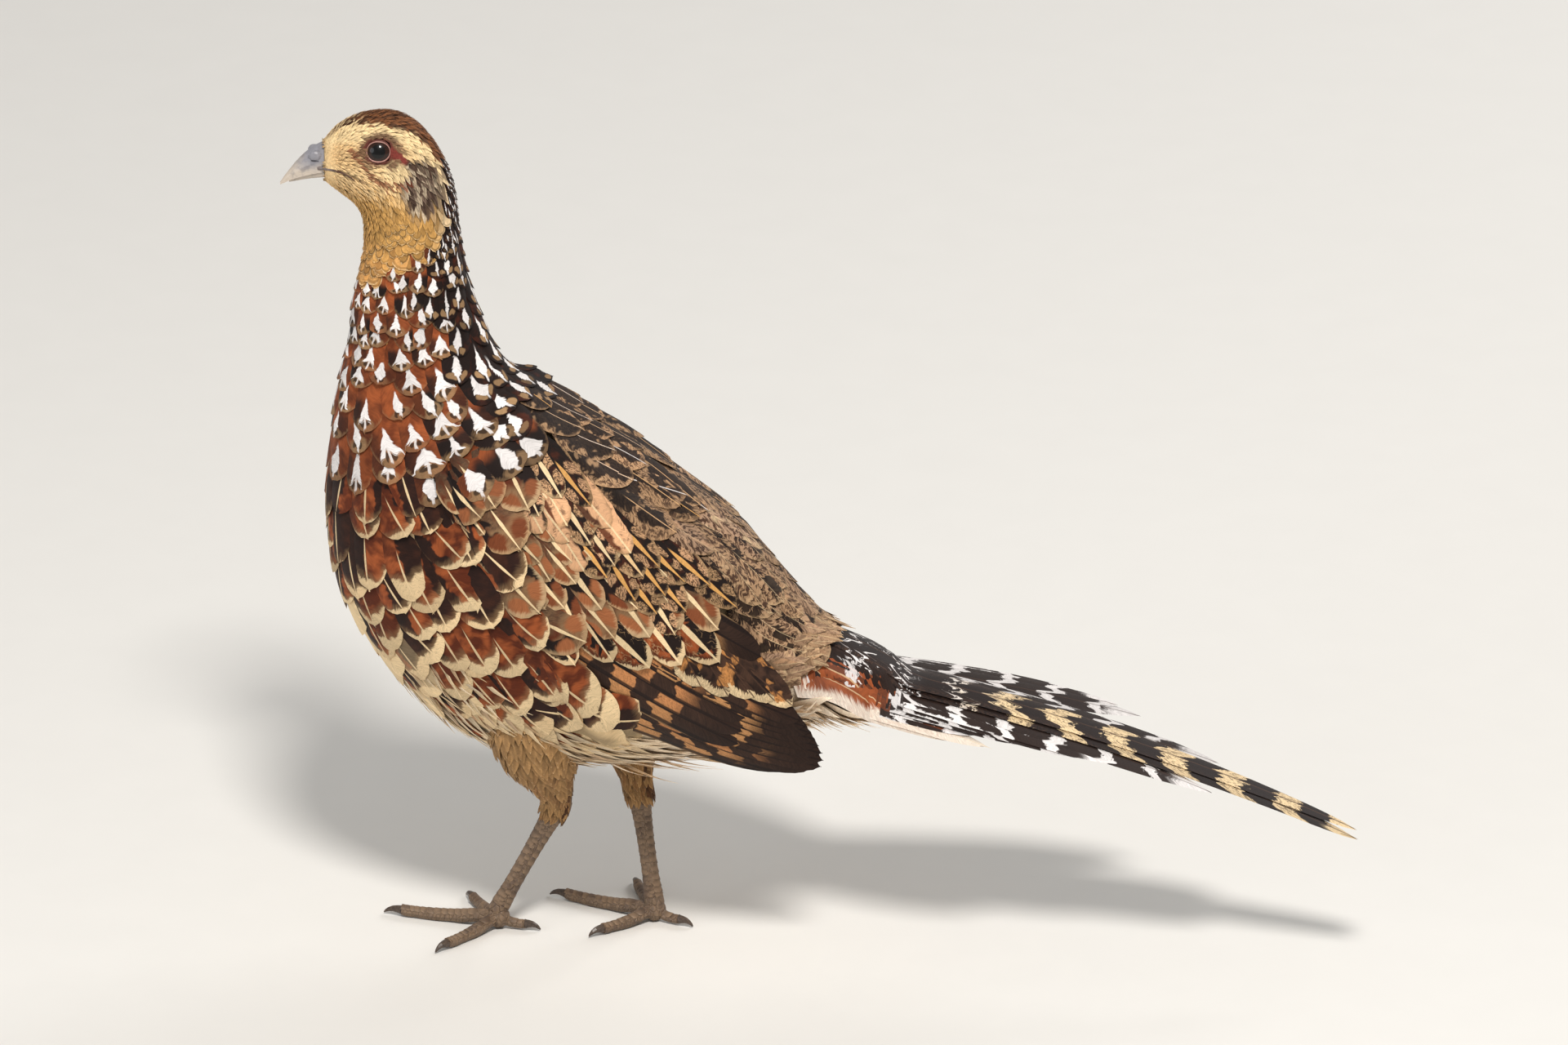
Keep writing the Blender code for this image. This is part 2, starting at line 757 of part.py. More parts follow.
def make_shank(side, leg, start, lead):
    """The bare tarsus, from the thigh's end round the hock to the ankle."""
    hock = Vector(leg["hock"])
    ankle = Vector(leg["ankle"])
    down = (ankle - hock).normalized()
    points = [start + lead * GAP, hock + lead * 0.5, hock + down * 9,
              hock.lerp(ankle, 0.42), hock.lerp(ankle, 0.75), ankle - down * 4]
    path = smooth_path(points, 14)
    path[0] = start + lead * GAP
    path[1] = path[0].lerp(path[2], 0.5)
    radii = []
    for k in range(14):
        half = spline(SHANK_HALVES, (len(SHANK_HALVES) - 1) * k / 13)
        radii.append((half * 0.8, half))
    rings = tube_rings(path, radii, Vector((1, 0, 0)), 12)
    rings[0] = tube_rings([path[0] - lead, path[0], path[0] + lead],
                          [(5.3, 6.6)] * 3, Vector((1, 0, 0)), 12)[1]
    shank = loft("shank_" + side, rings, PARTS, "scute")
    keep_largest(shank)
    return down


def toe_path(ankle, angle, length):
    """Centre line of a toe from under the ankle to the claw."""
    ahead = Vector((-math.cos(angle), math.sin(angle), 0))
    base = Vector((ankle.x, ankle.y, 0))
    points = [base + ahead * (length * share) + Vector((0, 0, z)) for share, z in TOE_ARCH]
    return points, ahead


def make_foot(side, leg, down):
    """Ankle and toes as one piece, flat under the pads, with loose claws."""
    ankle = Vector(leg["ankle"])
    heading = math.radians(leg["heading"])
    angles = {
        "middle": heading,
        "inner": heading + math.radians(leg["inner"]),
        "outer": heading + math.radians(leg["outer"]),
        "hind": heading + math.pi,
    }
    stub_path = [ankle - down * (4 - GAP), ankle, Vector((ankle.x, ankle.y, 5.0))]
    stub_radii = [(3.6, 4.5), (4.2, 4.8), (3.8, 4.2)]
    foot = loft("foot_" + side, tube_rings(stub_path, stub_radii, Vector((1, 0, 0)), 12),
                PARTS, "scute")
    pieces = [sphere("pad", Vector((ankle.x, ankle.y, 5.4)), 5.6, GUIDES, "scute", 12, 7)]
    for toe, (length, radius, claw) in TOES.items():
        points, ahead = toe_path(ankle, angles[toe], length)
        count = 10
        path = smooth_path(points, count)
        radii = []
        for k in range(count):
            share = k / (count - 1)
            pad = 1 + 0.07 * math.cos(2 * math.pi * share * length / 14)
            half = radius * (1 - 0.30 * share) * pad
            radii.append((half, half))
        pieces.append(loft("toe", tube_rings(path, radii, Vector((0, 0, 1)), 8), GUIDES, "scute"))
        tip = path[-1]
        lead = (path[-1] - path[-2]).normalized()
        claw_points = [tip + lead * GAP, tip + ahead * (claw * 0.45) + Vector((0, 0, 0.3)),
                       tip + ahead * (claw * 0.8) - Vector((0, 0, 0.7)),
                       tip + ahead * claw - Vector((0, 0, 2.1))]
        claw_path = smooth_path(claw_points, 6)
        claw_radii = [(1.75 * (1 - k / 5) + 0.3, 1.95 * (1 - k / 5) + 0.3) for k in range(6)]
        rings = tube_rings(claw_path, claw_radii, Vector((0, 0, 1)), 7)
        rings[0] = tube_rings([tip, tip + lead * GAP, tip + lead * 2 * GAP],
                              [(2.05, 2.25)] * 3, Vector((0, 0, 1)), 7)[1]
        loft("claw_" + side + "_" + toe, rings, PARTS, "claw")
    fuse(foot, pieces)
    cut(foot, FLOOR)
    keep_largest(foot)


def floor_cutter():
    """Everything under the floor, which trims the pads flat."""
    builder = bmesh.new()
    bmesh.ops.create_cube(builder, size=1.0)
    bmesh.ops.scale(builder, vec=(400, 300, 20), verts=builder.verts[:])
    bmesh.ops.translate(builder, vec=(-120, 0, -10), verts=builder.verts[:])
    return as_cutter(mesh_object("floor", builder, GUIDES, "scute"))


for old_object in list(bpy.data.objects):
    bpy.data.objects.remove(old_object)
PARTS = bpy.data.collections.new("reeves_pheasant")
GUIDES = bpy.data.collections.new("cutters")
bpy.context.scene.collection.children.link(PARTS)
bpy.context.scene.collection.children.link(GUIDES)
MATERIALS = {}
for finish_name, (colour, roughness) in COLOURS.items():
    material = bpy.data.materials.new(finish_name)
    material.use_nodes = True
    shader = material.node_tree.nodes["Principled BSDF"]
    shader.inputs["Base Color"].default_value = colour
    shader.inputs["Roughness"].default_value = roughness
    MATERIALS[finish_name] = material
FLOOR = floor_cutter()
make_head()
make_bill()
make_torso()
ROOM = swollen_torso()
make_wings()
make_tail()
for side_name, leg_sizes in LEGS.items():
    thigh_end, thigh_lead = make_thigh(side_name, leg_sizes, ROOM)
    shank_down = make_shank(side_name, leg_sizes, thigh_end, thigh_lead)
    make_foot(side_name, leg_sizes, shank_down)
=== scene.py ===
"""A Reeves pheasant hen in full plumage, laid over its solid parts.

The bird faces -X with its left side towards -Y and stands on z = 0. Shapes are
worked out in millimetres and turned into metres as their meshes are made.
Feathers lie on charts: the body's runs down the bird and round it, the wing's
from wrist to tip and up to the back, the thigh's down the leg and round it.
"""
import math

import bmesh
import bpy
import numpy as np
from bpy.props import FloatProperty, FloatVectorProperty, PointerProperty
from mathutils import Matrix, Vector
from mathutils.kdtree import KDTree


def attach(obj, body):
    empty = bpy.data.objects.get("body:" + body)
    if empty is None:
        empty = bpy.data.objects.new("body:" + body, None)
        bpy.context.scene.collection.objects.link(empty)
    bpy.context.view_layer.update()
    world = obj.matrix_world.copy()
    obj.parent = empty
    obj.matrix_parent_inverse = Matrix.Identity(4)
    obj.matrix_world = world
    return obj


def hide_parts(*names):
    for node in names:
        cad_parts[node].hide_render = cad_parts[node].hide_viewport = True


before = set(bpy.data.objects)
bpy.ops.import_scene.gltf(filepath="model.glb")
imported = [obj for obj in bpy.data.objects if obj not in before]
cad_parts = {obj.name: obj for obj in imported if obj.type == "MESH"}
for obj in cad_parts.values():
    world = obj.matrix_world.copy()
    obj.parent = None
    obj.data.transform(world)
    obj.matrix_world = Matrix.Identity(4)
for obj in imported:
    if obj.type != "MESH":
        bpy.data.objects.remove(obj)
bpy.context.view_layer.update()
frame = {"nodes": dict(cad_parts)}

bl_info = {
    "name": "Reeves Pheasant Plumage",
    "version": (1, 0, 0),
    "blender": (4, 5, 0),
    "location": "View3D > Sidebar > Pheasant",
    "description": "Feathers, bare parts and studio of a standing pheasant hen",
    "category": "Object",
}

MM = 0.001
SIDES = {"left": -1, "right": 1}

# Sections of the bird from the bill to the tail coverts: x and z of the centre,
# half depth, half width and lean of the dorsal line, as in the solids.
SECTIONS = np.array((
    (-231, 386, 10, 8, 0), (-224, 387, 16.5, 13, 0), (-214, 386.5, 23, 16, 7),
    (-204, 382, 28, 17, 20), (-197, 372, 28.5, 17.5, 35), (-192.5, 358, 26.5, 18, 52),
    (-192, 340, 25.5, 19, 67), (-192, 321, 28, 22, 75), (-190, 301, 32, 26, 78),
    (-188, 279, 39.5, 32, 78), (-181, 256, 52, 40, 73), (-171, 234, 66, 48, 68),
    (-156, 210, 80, 54, 65), (-138, 187, 87, 57, 63), (-117, 165, 89, 57, 60),
    (-93, 145, 85, 54, 57), (-69, 134, 73, 48, 52), (-43, 132, 55, 40, 45),
    (-20, 135, 37, 31, 36), (2, 140, 21, 24, 24), (20, 137.3, 15, 25.5, 16),
    (38, 134, 9.5, 21, 11), (56, 130.6, 4.6, 14, 10),
), dtype=float)
TRUNK_FROM = 8.5
TRUNK_TO = 19.0
RUMP_FROM = 17
# Charts go this far either way from their seam, in radians: a little past half a turn.
AROUND = 4.2

HEAD_TURN = math.radians(10)
TURN_X = -191.3
TURN_FROM_Z = 274
TURN_TO_Z = 340

EYE_ON_SKIN = np.array((-206.3, -15.2, 396.1))
EYE_AXIS = np.array((-0.10, -0.93, 0.30))
EYE_RADIUS = 7.0
EYE_DEPTH = 5.0
IRIS_EDGE = math.radians(52)
LID_EDGE = math.radians(53.5)

WRIST = np.array((-169.6, 0, 239.4))
WING_TIP = np.array((5.9, 0, 105.3))
WING_SHEET = np.array(((0, 18), (50, 26), (90, 44), (125, 51), (160, 49), (221, 39)), dtype=float)
SHEET_FALL = 0.010
WING_BLEND = 25
ARM_RISE = 6.0

TAIL_ROOT = (2, 0, 140)
TAIL_SLOPE = math.tan(math.radians(9.5))
TAIL_DROOP = 5.2e-4
TAIL_CURL = 0.0012
# Tail feathers in pairs from the centre: length and angle of the right and the
# left one, and their width.
TAIL_FEATHERS = (
    ((250, 0.8), (250, 0.8), 25), ((183, 5), (183, 4.5), 25), ((148, 15), (140, 8), 24),
    ((138, 18.5), (127, 10), 23), ((124, 21.5), (106, 13), 22), ((108, 24), (84, 16), 21),
    ((92, 26.5), (78, 20.5), 20), ((78, 29), (88, 22.5), 18), ((64, 31.5), (76, 27), 16),
)
TAIL_TOP = 5.0
TAIL_LAYER = 1.0
TAIL_START = -22.0
TAIL_BLEND = 0.8

LEGS = {
    "left": {
        "hock": (-122, -11, 66), "ankle": (-151, -9, 9.5), "heading": 7, "inner": 50, "outer": -61,
        "thigh": ((-132, -17, 146, 22), (-131, -24, 118, 25), (-129, -23, 99, 20.5),
                  (-125.5, -17.5, 84, 13.5)),
    },
    "right": {
        "hock": (-87, 10, 67), "ankle": (-79.5, 9, 9.5), "heading": 20, "inner": -62, "outer": 48,
        "thigh": ((-104, 17, 144, 20), (-101, 23, 116, 22), (-96, 21, 97, 17.5),
                  (-91, 15.5, 83, 12)),
    },
}
TOES = {
    "middle": (47, 3.6, 9), "outer": (34, 3.3, 8), "inner": (29, 3.3, 8), "hind": (13, 2.9, 7.5),
}
TOE_ARCH = ((0.0, 5.8), (0.22, 4.6), (0.45, 3.2), (0.7, 2.7), (0.88, 2.7), (1.0, 3.0))
SHANK_HALVES = (6.6, 6.4, 4.9, 4.0, 3.9, 4.5)

# The photo's view: how far the camera is turned and raised, and what it aims at in metres.
VIEW_TURN = math.radians(8)
VIEW_RISE = math.radians(24)
VIEW_AIM = (-0.0167, 0, 0.2124)
SENSOR_WIDTH = 36


def srgb(red, green, blue):
    """A colour as the eye names it, in the linear numbers that a shader takes."""
    levels = np.array((red, green, blue)) / 255
    return tuple(np.where(levels <= 0.04045, levels / 12.92, ((levels + 0.055) / 1.055) ** 2.4))


def colour(title, text, value):
    """A colour that a user may change."""
    return FloatVectorProperty(name=title, description=text, subtype="COLOR", size=3,
                               min=0, max=1, default=value)


class PlumageSettings(bpy.types.PropertyGroup):
    """Colours of the plumage and how closely it lies."""
    rufous: colour("Rufous", "Chestnut of the breast and wing coverts", srgb(154, 80, 42))
    chestnut: colour("Chestnut", "Deep chestnut in the feathers' centres", srgb(88, 38, 18))
    soot: colour("Soot", "Black-brown of the mantle, wings and tail", srgb(28, 17, 14))
    umber: colour("Umber", "Dark brown of the flight feathers", srgb(70, 48, 36))
    white: colour("White", "White of the arrows and lances", srgb(220, 215, 213))
    cream: colour("Cream", "Cream of the belly and the feathers' fringes", srgb(220, 194, 152))
    buff: colour("Buff", "Grey buff of the feathers' tips", srgb(166, 132, 94))
    pink_buff: colour("Pink buff", "Pale blotches of the shoulder", srgb(210, 162, 122))
    gold: colour("Gold", "Shaft streaks and the upper neck", srgb(214, 160, 92))
    grey_brown: colour("Grey brown", "Fine marbling of the rump", srgb(166, 134, 108))
    loft: FloatProperty(name="Feather loft", description="How far the tips stand above the coat",
                        default=0.5, min=0, max=3, precision=2)


class BareSettings(bpy.types.PropertyGroup):
    """Colours of the bill, legs and eyes."""
    horn: colour("Horn", "Grey of the bill's ridge", srgb(138, 137, 144))
    ivory: colour("Ivory", "Pale edges and tip of the bill", srgb(212, 196, 176))
    scute: colour("Scute", "Pale edges of the leg scales", srgb(140, 116, 92))
    leg: colour("Leg", "Grey brown of the legs", srgb(100, 80, 63))
    claw: colour("Claw", "Dark horn of the claws", srgb(86, 72, 62))
    rim: colour("Eye rim", "Bare skin round the eyes", srgb(182, 138, 126))
    patch: colour("Eye patch", "Red skin behind the eyes", srgb(130, 56, 48))


class StudioSettings(bpy.types.PropertyGroup):
    """The floor, the lights and the camera."""
    distance: FloatProperty(name="Distance", description="From the camera to the bird",
                            default=9.0, min=0.5, max=20, unit="LENGTH")
    width: FloatProperty(name="View width", description="Width of the view at the bird",
                         default=0.7296, min=0.1, max=3, unit="LENGTH")
    floor: colour("Floor", "Pale floor and backdrop", srgb(226, 224, 220))
    key: FloatProperty(name="Key light", description="Power of the main soft light",
                       default=62, min=0, max=1000, unit="POWER")


def settings():
    """The plumage's settings in the scene."""
    return bpy.context.scene.pheasant_plumage


def bare():
    """The bare parts' settings in the scene."""
    return bpy.context.scene.pheasant_bare


def ease(value):
    """A smooth rise from nought to one."""
    value = np.clip(value, 0, 1)
    return value * value * (3 - 2 * value)


def spline_rows(rows, place):
    """Reads a table's rows as smooth curves at places between them."""
    last = len(rows) - 1
    place = np.asarray(place, dtype=float)
    k = np.clip(np.floor(place).astype(int), 0, last - 1)
    f = np.clip(place - k, -0.6, 1.25)[..., None]
    before = rows[np.maximum(k - 1, 0)]
    a = rows[k]
    b = rows[k + 1]
    after = rows[np.minimum(k + 2, last)]
    rise_a = (b - before) / 2
    rise_b = (after - a) / 2
    return (a * (2 * f**3 - 3 * f**2 + 1) + rise_a * (f**3 - 2 * f**2 + f)
            + b * (3 * f**2 - 2 * f**3) + rise_b * (f**3 - f**2))


def turned(points, turn=HEAD_TURN):
    """Turns points with the head, fading out down the neck."""
    share = ease((points[..., 2] - TURN_FROM_Z) / (TURN_TO_Z - TURN_FROM_Z))
    angle = turn * share
    x = points[..., 0] - TURN_X
    y = points[..., 1]
    return np.stack((x * np.cos(angle) - y * np.sin(angle) + TURN_X,
                     x * np.sin(angle) + y * np.cos(angle), points[..., 2]), axis=-1)


def body_centre(t, phi):
    """The middle of the bird at section t, for any angle phi."""
    row = spline_rows(SECTIONS, t)
    return turned(np.stack((row[..., 0], 0 * phi, row[..., 1]), axis=-1))


def body_point(t, phi):
    """The bird's outline at section t and angle phi from the dorsal line."""
    row = spline_rows(SECTIONS, t)
    lean = np.radians(row[..., 4])
    up = row[..., 2] * np.cos(phi)
    return turned(np.stack((row[..., 0] + np.sin(lean) * up, row[..., 3] * np.sin(phi),
                            row[..., 1] + np.cos(lean) * up), axis=-1))


HALVINGS = 18
WING_SPAN = WING_TIP - WRIST
WING_LENGTH = float(np.linalg.norm(WING_SPAN))
WING_U = WING_SPAN / WING_LENGTH
WING_V = np.array((-WING_U[2], 0, WING_U[0]))


def flank_width(x, z):
    """Half width of the trunk at places in the side view."""
    low = np.full(x.shape, TRUNK_FROM)
    high = np.full(x.shape, TRUNK_TO)
    for _ in range(HALVINGS):
        middle = (low + high) / 2
        row = spline_rows(SECTIONS, middle)
        lean = np.radians(row[..., 4])
        ahead = (x - row[..., 0]) * np.cos(lean) - (z - row[..., 1]) * np.sin(lean)
        low = np.where(ahead > 0, middle, low)
        high = np.where(ahead > 0, high, middle)
    row = spline_rows(SECTIONS, (low + high) / 2)
    lean = np.radians(row[..., 4])
    share = ((x - row[..., 0]) * np.sin(lean) + (z - row[..., 1]) * np.cos(lean)) / row[..., 2]
    return row[..., 3] * np.sqrt(np.maximum(1 - share**2, 0))


def wing_line(u, v):
    """Places in the upright plane of the wing's chart, u along it and v up."""
    return WRIST + u[..., None] * WING_U + v[..., None] * WING_V


def wing_point(u, v):
    """The inner face of the folded left wing."""
    point = wing_line(u, v)
    flank = flank_width(point[..., 0], point[..., 2])
    reach = np.clip(u, 0, WING_LENGTH)
    row = np.interp(reach, WING_SHEET[:, 0], np.arange(len(WING_SHEET)))
    sheet = spline_rows(WING_SHEET, row)[..., 1] - SHEET_FALL * (v + 8) ** 2
    point[..., 1] = -(flank + sheet + np.sqrt((flank - sheet) ** 2 + WING_BLEND)) / 2
    return point


def on_wing(points):
    """Chart places of points in the side view."""
    away = points - WRIST
    return away @ WING_U, away @ WING_V


def wing_edge(u):
    """The lower edge of the folded wing's arm on its chart."""
    return 0.7 - 0.41 * u


def wing_swell(points):
    """How far the wing's arm lifts the feathers that lie over its edges."""
    u, v = on_wing(points)
    return (ARM_RISE * ease((v - wing_edge(u) + 5) / 10) * ease((51 - v) / 9)
            * ease((u + 9) / 16) * ease((150 - u) / 26))


def leg_rows(side):
    """The feathered thigh's sections down over the hock, and the shank's."""
    leg = LEGS[side]
    rows = [np.array(row, dtype=float) for row in leg["thigh"]]
    hock = np.array(leg["hock"], dtype=float)
    ankle = np.array(leg["ankle"], dtype=float)
    lead = hock - rows[-1][:3]
    lead /= np.linalg.norm(lead)
    down = (ankle - hock) / np.linalg.norm(ankle - hock)
    start = hock - lead * 5
    path = (start, hock + lead * 0.5, hock + down * 9, hock + 0.42 * (ankle - hock),
            hock + 0.75 * (ankle - hock), ankle - down * 4)
    rows += [np.append(start, 7.6), np.append(hock + down * 5, 7.0),
             np.append(hock + down * 12, 5.4)]
    return np.array(rows), np.array([np.append(p, half) for p, half in zip(path, SHANK_HALVES)])


def toe_rows(side, toe):
    """Sections of a toe from under the ankle to its claw."""
    leg = LEGS[side]
    turn = {"middle": 0, "hind": 180}.get(toe, leg.get(toe, 0))
    angle = math.radians(leg["heading"] + turn)
    length, radius = TOES[toe][:2]
    return np.array([(leg["ankle"][0] - math.cos(angle) * length * share,
                      leg["ankle"][1] + math.sin(angle) * length * share, z,
                      radius * (1 - 0.3 * share)) for share, z in TOE_ARCH])


def tube_chart(rows, reference, flat, around=141):
    """A chart down a tube and round it, wider across the reference than along it by flat."""
    def point(s, phi):
        row = spline_rows(rows, s)
        ahead = spline_rows(rows, s + 0.05)[..., :3] - spline_rows(rows, s - 0.05)[..., :3]
        across = np.cross(ahead, np.array(reference, dtype=float))
        across /= np.linalg.norm(across, axis=-1, keepdims=True)
        upright = np.cross(across, ahead)
        upright /= np.linalg.norm(upright, axis=-1, keepdims=True)
        half = row[..., 3:]
        return (row[..., :3] + across * (flat * half * np.cos(phi)[..., None])
                + upright * (half * np.sin(phi)[..., None]))
    last = len(rows) - 1
    return Chart(point, lambda s, phi: spline_rows(rows, s)[..., :3] + 0 * phi[..., None],
                 (-0.3, -AROUND), (last + 0.1, AROUND), (20 * last + 9, around))


def tail_height(along, offset, level):
    """Height of the tail's fan, lower towards its end and at a feather's edges."""
    return TAIL_ROOT[2] - TAIL_SLOPE * along - TAIL_DROOP * along**2 + level - TAIL_CURL * offset**2


class Chart:
    """A surface read from a grid of its points, with its outward normals and slopes."""

    def __init__(self, point, inside, low, high, steps):
        a = np.linspace(low[0], high[0], steps[0])
        b = np.linspace(low[1], high[1], steps[1])
        first, second = np.meshgrid(a, b, indexing="ij")
        grid = point(first, second)
        self.low = np.array(low, dtype=float)
        self.step = np.array((a[1] - a[0], b[1] - b[0]))
        slope_a = np.gradient(grid, axis=0) / self.step[0]
        slope_b = np.gradient(grid, axis=1) / self.step[1]
        normal = np.cross(slope_a, slope_b)
        normal /= np.maximum(np.linalg.norm(normal, axis=-1, keepdims=True), 1e-9)
        self.hand = 1 if np.sum(normal * (grid - inside(first, second))) > 0 else -1
        self.table = np.concatenate((grid, normal * self.hand, slope_a, slope_b), axis=-1)

    def read(self, a, b):
        """Points, normals and both slopes at places of the chart."""
        size = self.table.shape
        i = np.clip((a - self.low[0]) / self.step[0], 0, size[0] - 1.001)
        j = np.clip((b - self.low[1]) / self.step[1], 0, size[1] - 1.001)
        m = i.astype(int)
        n = j.astype(int)
        f = (i - m)[..., None]
        g = (j - n)[..., None]
        row = ((1 - f) * ((1 - g) * self.table[m, n] + g * self.table[m, n + 1])
               + f * ((1 - g) * self.table[m + 1, n] + g * self.table[m + 1, n + 1]))
        return row[..., :3], row[..., 3:6], row[..., 6:9], row[..., 9:]


def body_chart():
    """The chart that runs down the bird and round it."""
    return Chart(body_point, body_centre, (-0.5, -AROUND), (22.6, AROUND), (463, 337))


def wing_chart():
    """The chart on the inner face of the folded left wing."""
    return Chart(wing_point, wing_line, (-30, -62), (236, 62), (267, 125))



# Outlines of feathers: half width at the root, share of the length over which it
# widens, where it starts to narrow, and how roundly.
OUTLINES = {
    "round": (0.4, 0.42, 0.5, 2.1), "long": (0.35, 0.22, 0.72, 2.2), "wisp": (0.6, 0.3, 0.3, 1.0),
    "point": (0.45, 0.3, 0.35, 1.25), "plate": (0.85, 0.2, 0.4, 3.2),
}
THINNEST = 0.015
SHARP_FROM = math.radians(55)

# Scattered feathers: cells of the chart each way, tries for each place that is filled,
# and how near two roots may come, as a share of their spacing.
SCATTER_CELLS = 60
SCATTER_TRIES = 7
SCATTER_ROOM = 0.82


def outline(shape, s):
    """Half width of a feather at shares of its length, where the widest place is 1."""
    root, widening, turn, power = OUTLINES[shape]
    rise = root + (1 - root) * ease(s / widening)
    tip = np.clip((s - turn) / (1 - turn), 0, 1)
    return np.maximum(rise * np.maximum(1 - tip**power, 0) ** (1 / power), THINNEST)


def flow(chart, a, b, angle, reach):
    """Chart places down each feather's shaft, with the shifts that a millimetre across it makes."""
    count, rows = reach.shape
    at = np.stack((a, b), axis=-1).astype(float)
    places = np.empty((count, rows, 2))
    across = np.empty((count, rows, 2))
    done = np.zeros(count)
    for row in range(rows):
        for part in (2, 1):
            move = (reach[:, row] - done) / part
            at = at + directions(chart, at, angle)[0] * move[:, None]
            done = done + move
        places[:, row] = at
        across[:, row] = directions(chart, at, angle)[1]
    return places, across


def directions(chart, at, angle):
    """Chart shifts of one millimetre along a heading and across it."""
    _, normal, slope_a, slope_b = chart.read(at[:, 0], at[:, 1])
    ahead = slope_a / np.maximum(np.linalg.norm(slope_a, axis=-1, keepdims=True), 1e-6)
    beside = np.cross(normal, ahead) * chart.hand
    cos = np.cos(angle)[:, None]
    sin = np.sin(angle)[:, None]
    aa = np.sum(slope_a * slope_a, axis=-1)
    ab = np.sum(slope_a * slope_b, axis=-1)
    bb = np.sum(slope_b * slope_b, axis=-1)
    room = np.maximum(aa * bb - ab * ab, 1e-6)
    shifts = []
    for way in (cos * ahead + sin * beside, cos * beside - sin * ahead):
        pa = np.sum(way * slope_a, axis=-1)
        pb = np.sum(way * slope_b, axis=-1)
        shifts.append(np.stack(((pa * bb - pb * ab) / room, (pb * aa - pa * ab) / room), axis=-1))
    return shifts


def grid_of(cols, rows, dense=1.5):
    """Columns across and rows down a vane, closer together towards its tip."""
    across = np.linspace(-1, 1, cols)
    down = 1 - (1 - np.linspace(0, 1, rows)) ** dense
    return across, down


def lay(chart, a, b, angle, length, width, lift, shape="round", cols=5, rows=7, camber=0.6,
        bow=0.0, louver=0.0, swell=None, body=0.12, ragged_tip=0.012):
    """Feathers that lie on a chart: their points, and their vanes' own coordinates."""
    count = len(a)
    angle, length, width, low, high, camber, bow, louver = (
        np.zeros(count) + value for value in (angle, length, width, *lift, camber, bow, louver))
    across, down = grid_of(cols, rows)
    places, side = flow(chart, a, b, angle, length[:, None] * down)
    half = outline(shape, down)
    x = across[None, None, :] * half[None, :, None] * np.ones((count, 1, 1))
    shift = x * width[:, None, None] / 2 + (bow[:, None] * 4 * down * (1 - down))[:, :, None]
    at = places[:, :, None, :] + side[:, :, None, :] * shift[..., None]
    points, normal, _, _ = chart.read(at[..., 0], at[..., 1])
    rise = low[:, None] + (high - low)[:, None] * down[None, :] ** 0.85
    height = (rise[:, :, None] - camber[:, None, None] * x**2 + louver[:, None, None] * x
              + body * (1 - across**2)[None, None, :])
    if swell is not None:
        height = height + swell(points)
    points = points + normal * height[..., None]
    rng = np.random.default_rng(count)
    ragged = rng.normal(0, 1, (count, 1, cols)) * (down[None, :, None] ** 4) * ragged_tip
    step = points[:, -2:-1] - points[:, -3:-2]
    step /= np.maximum(np.linalg.norm(step, axis=-1, keepdims=True), 1e-6)
    points = points + step * (ragged * length[:, None, None])[..., None]
    vane = np.stack((x, np.broadcast_to(down[None, :, None], x.shape)), axis=-1)
    return points, vane


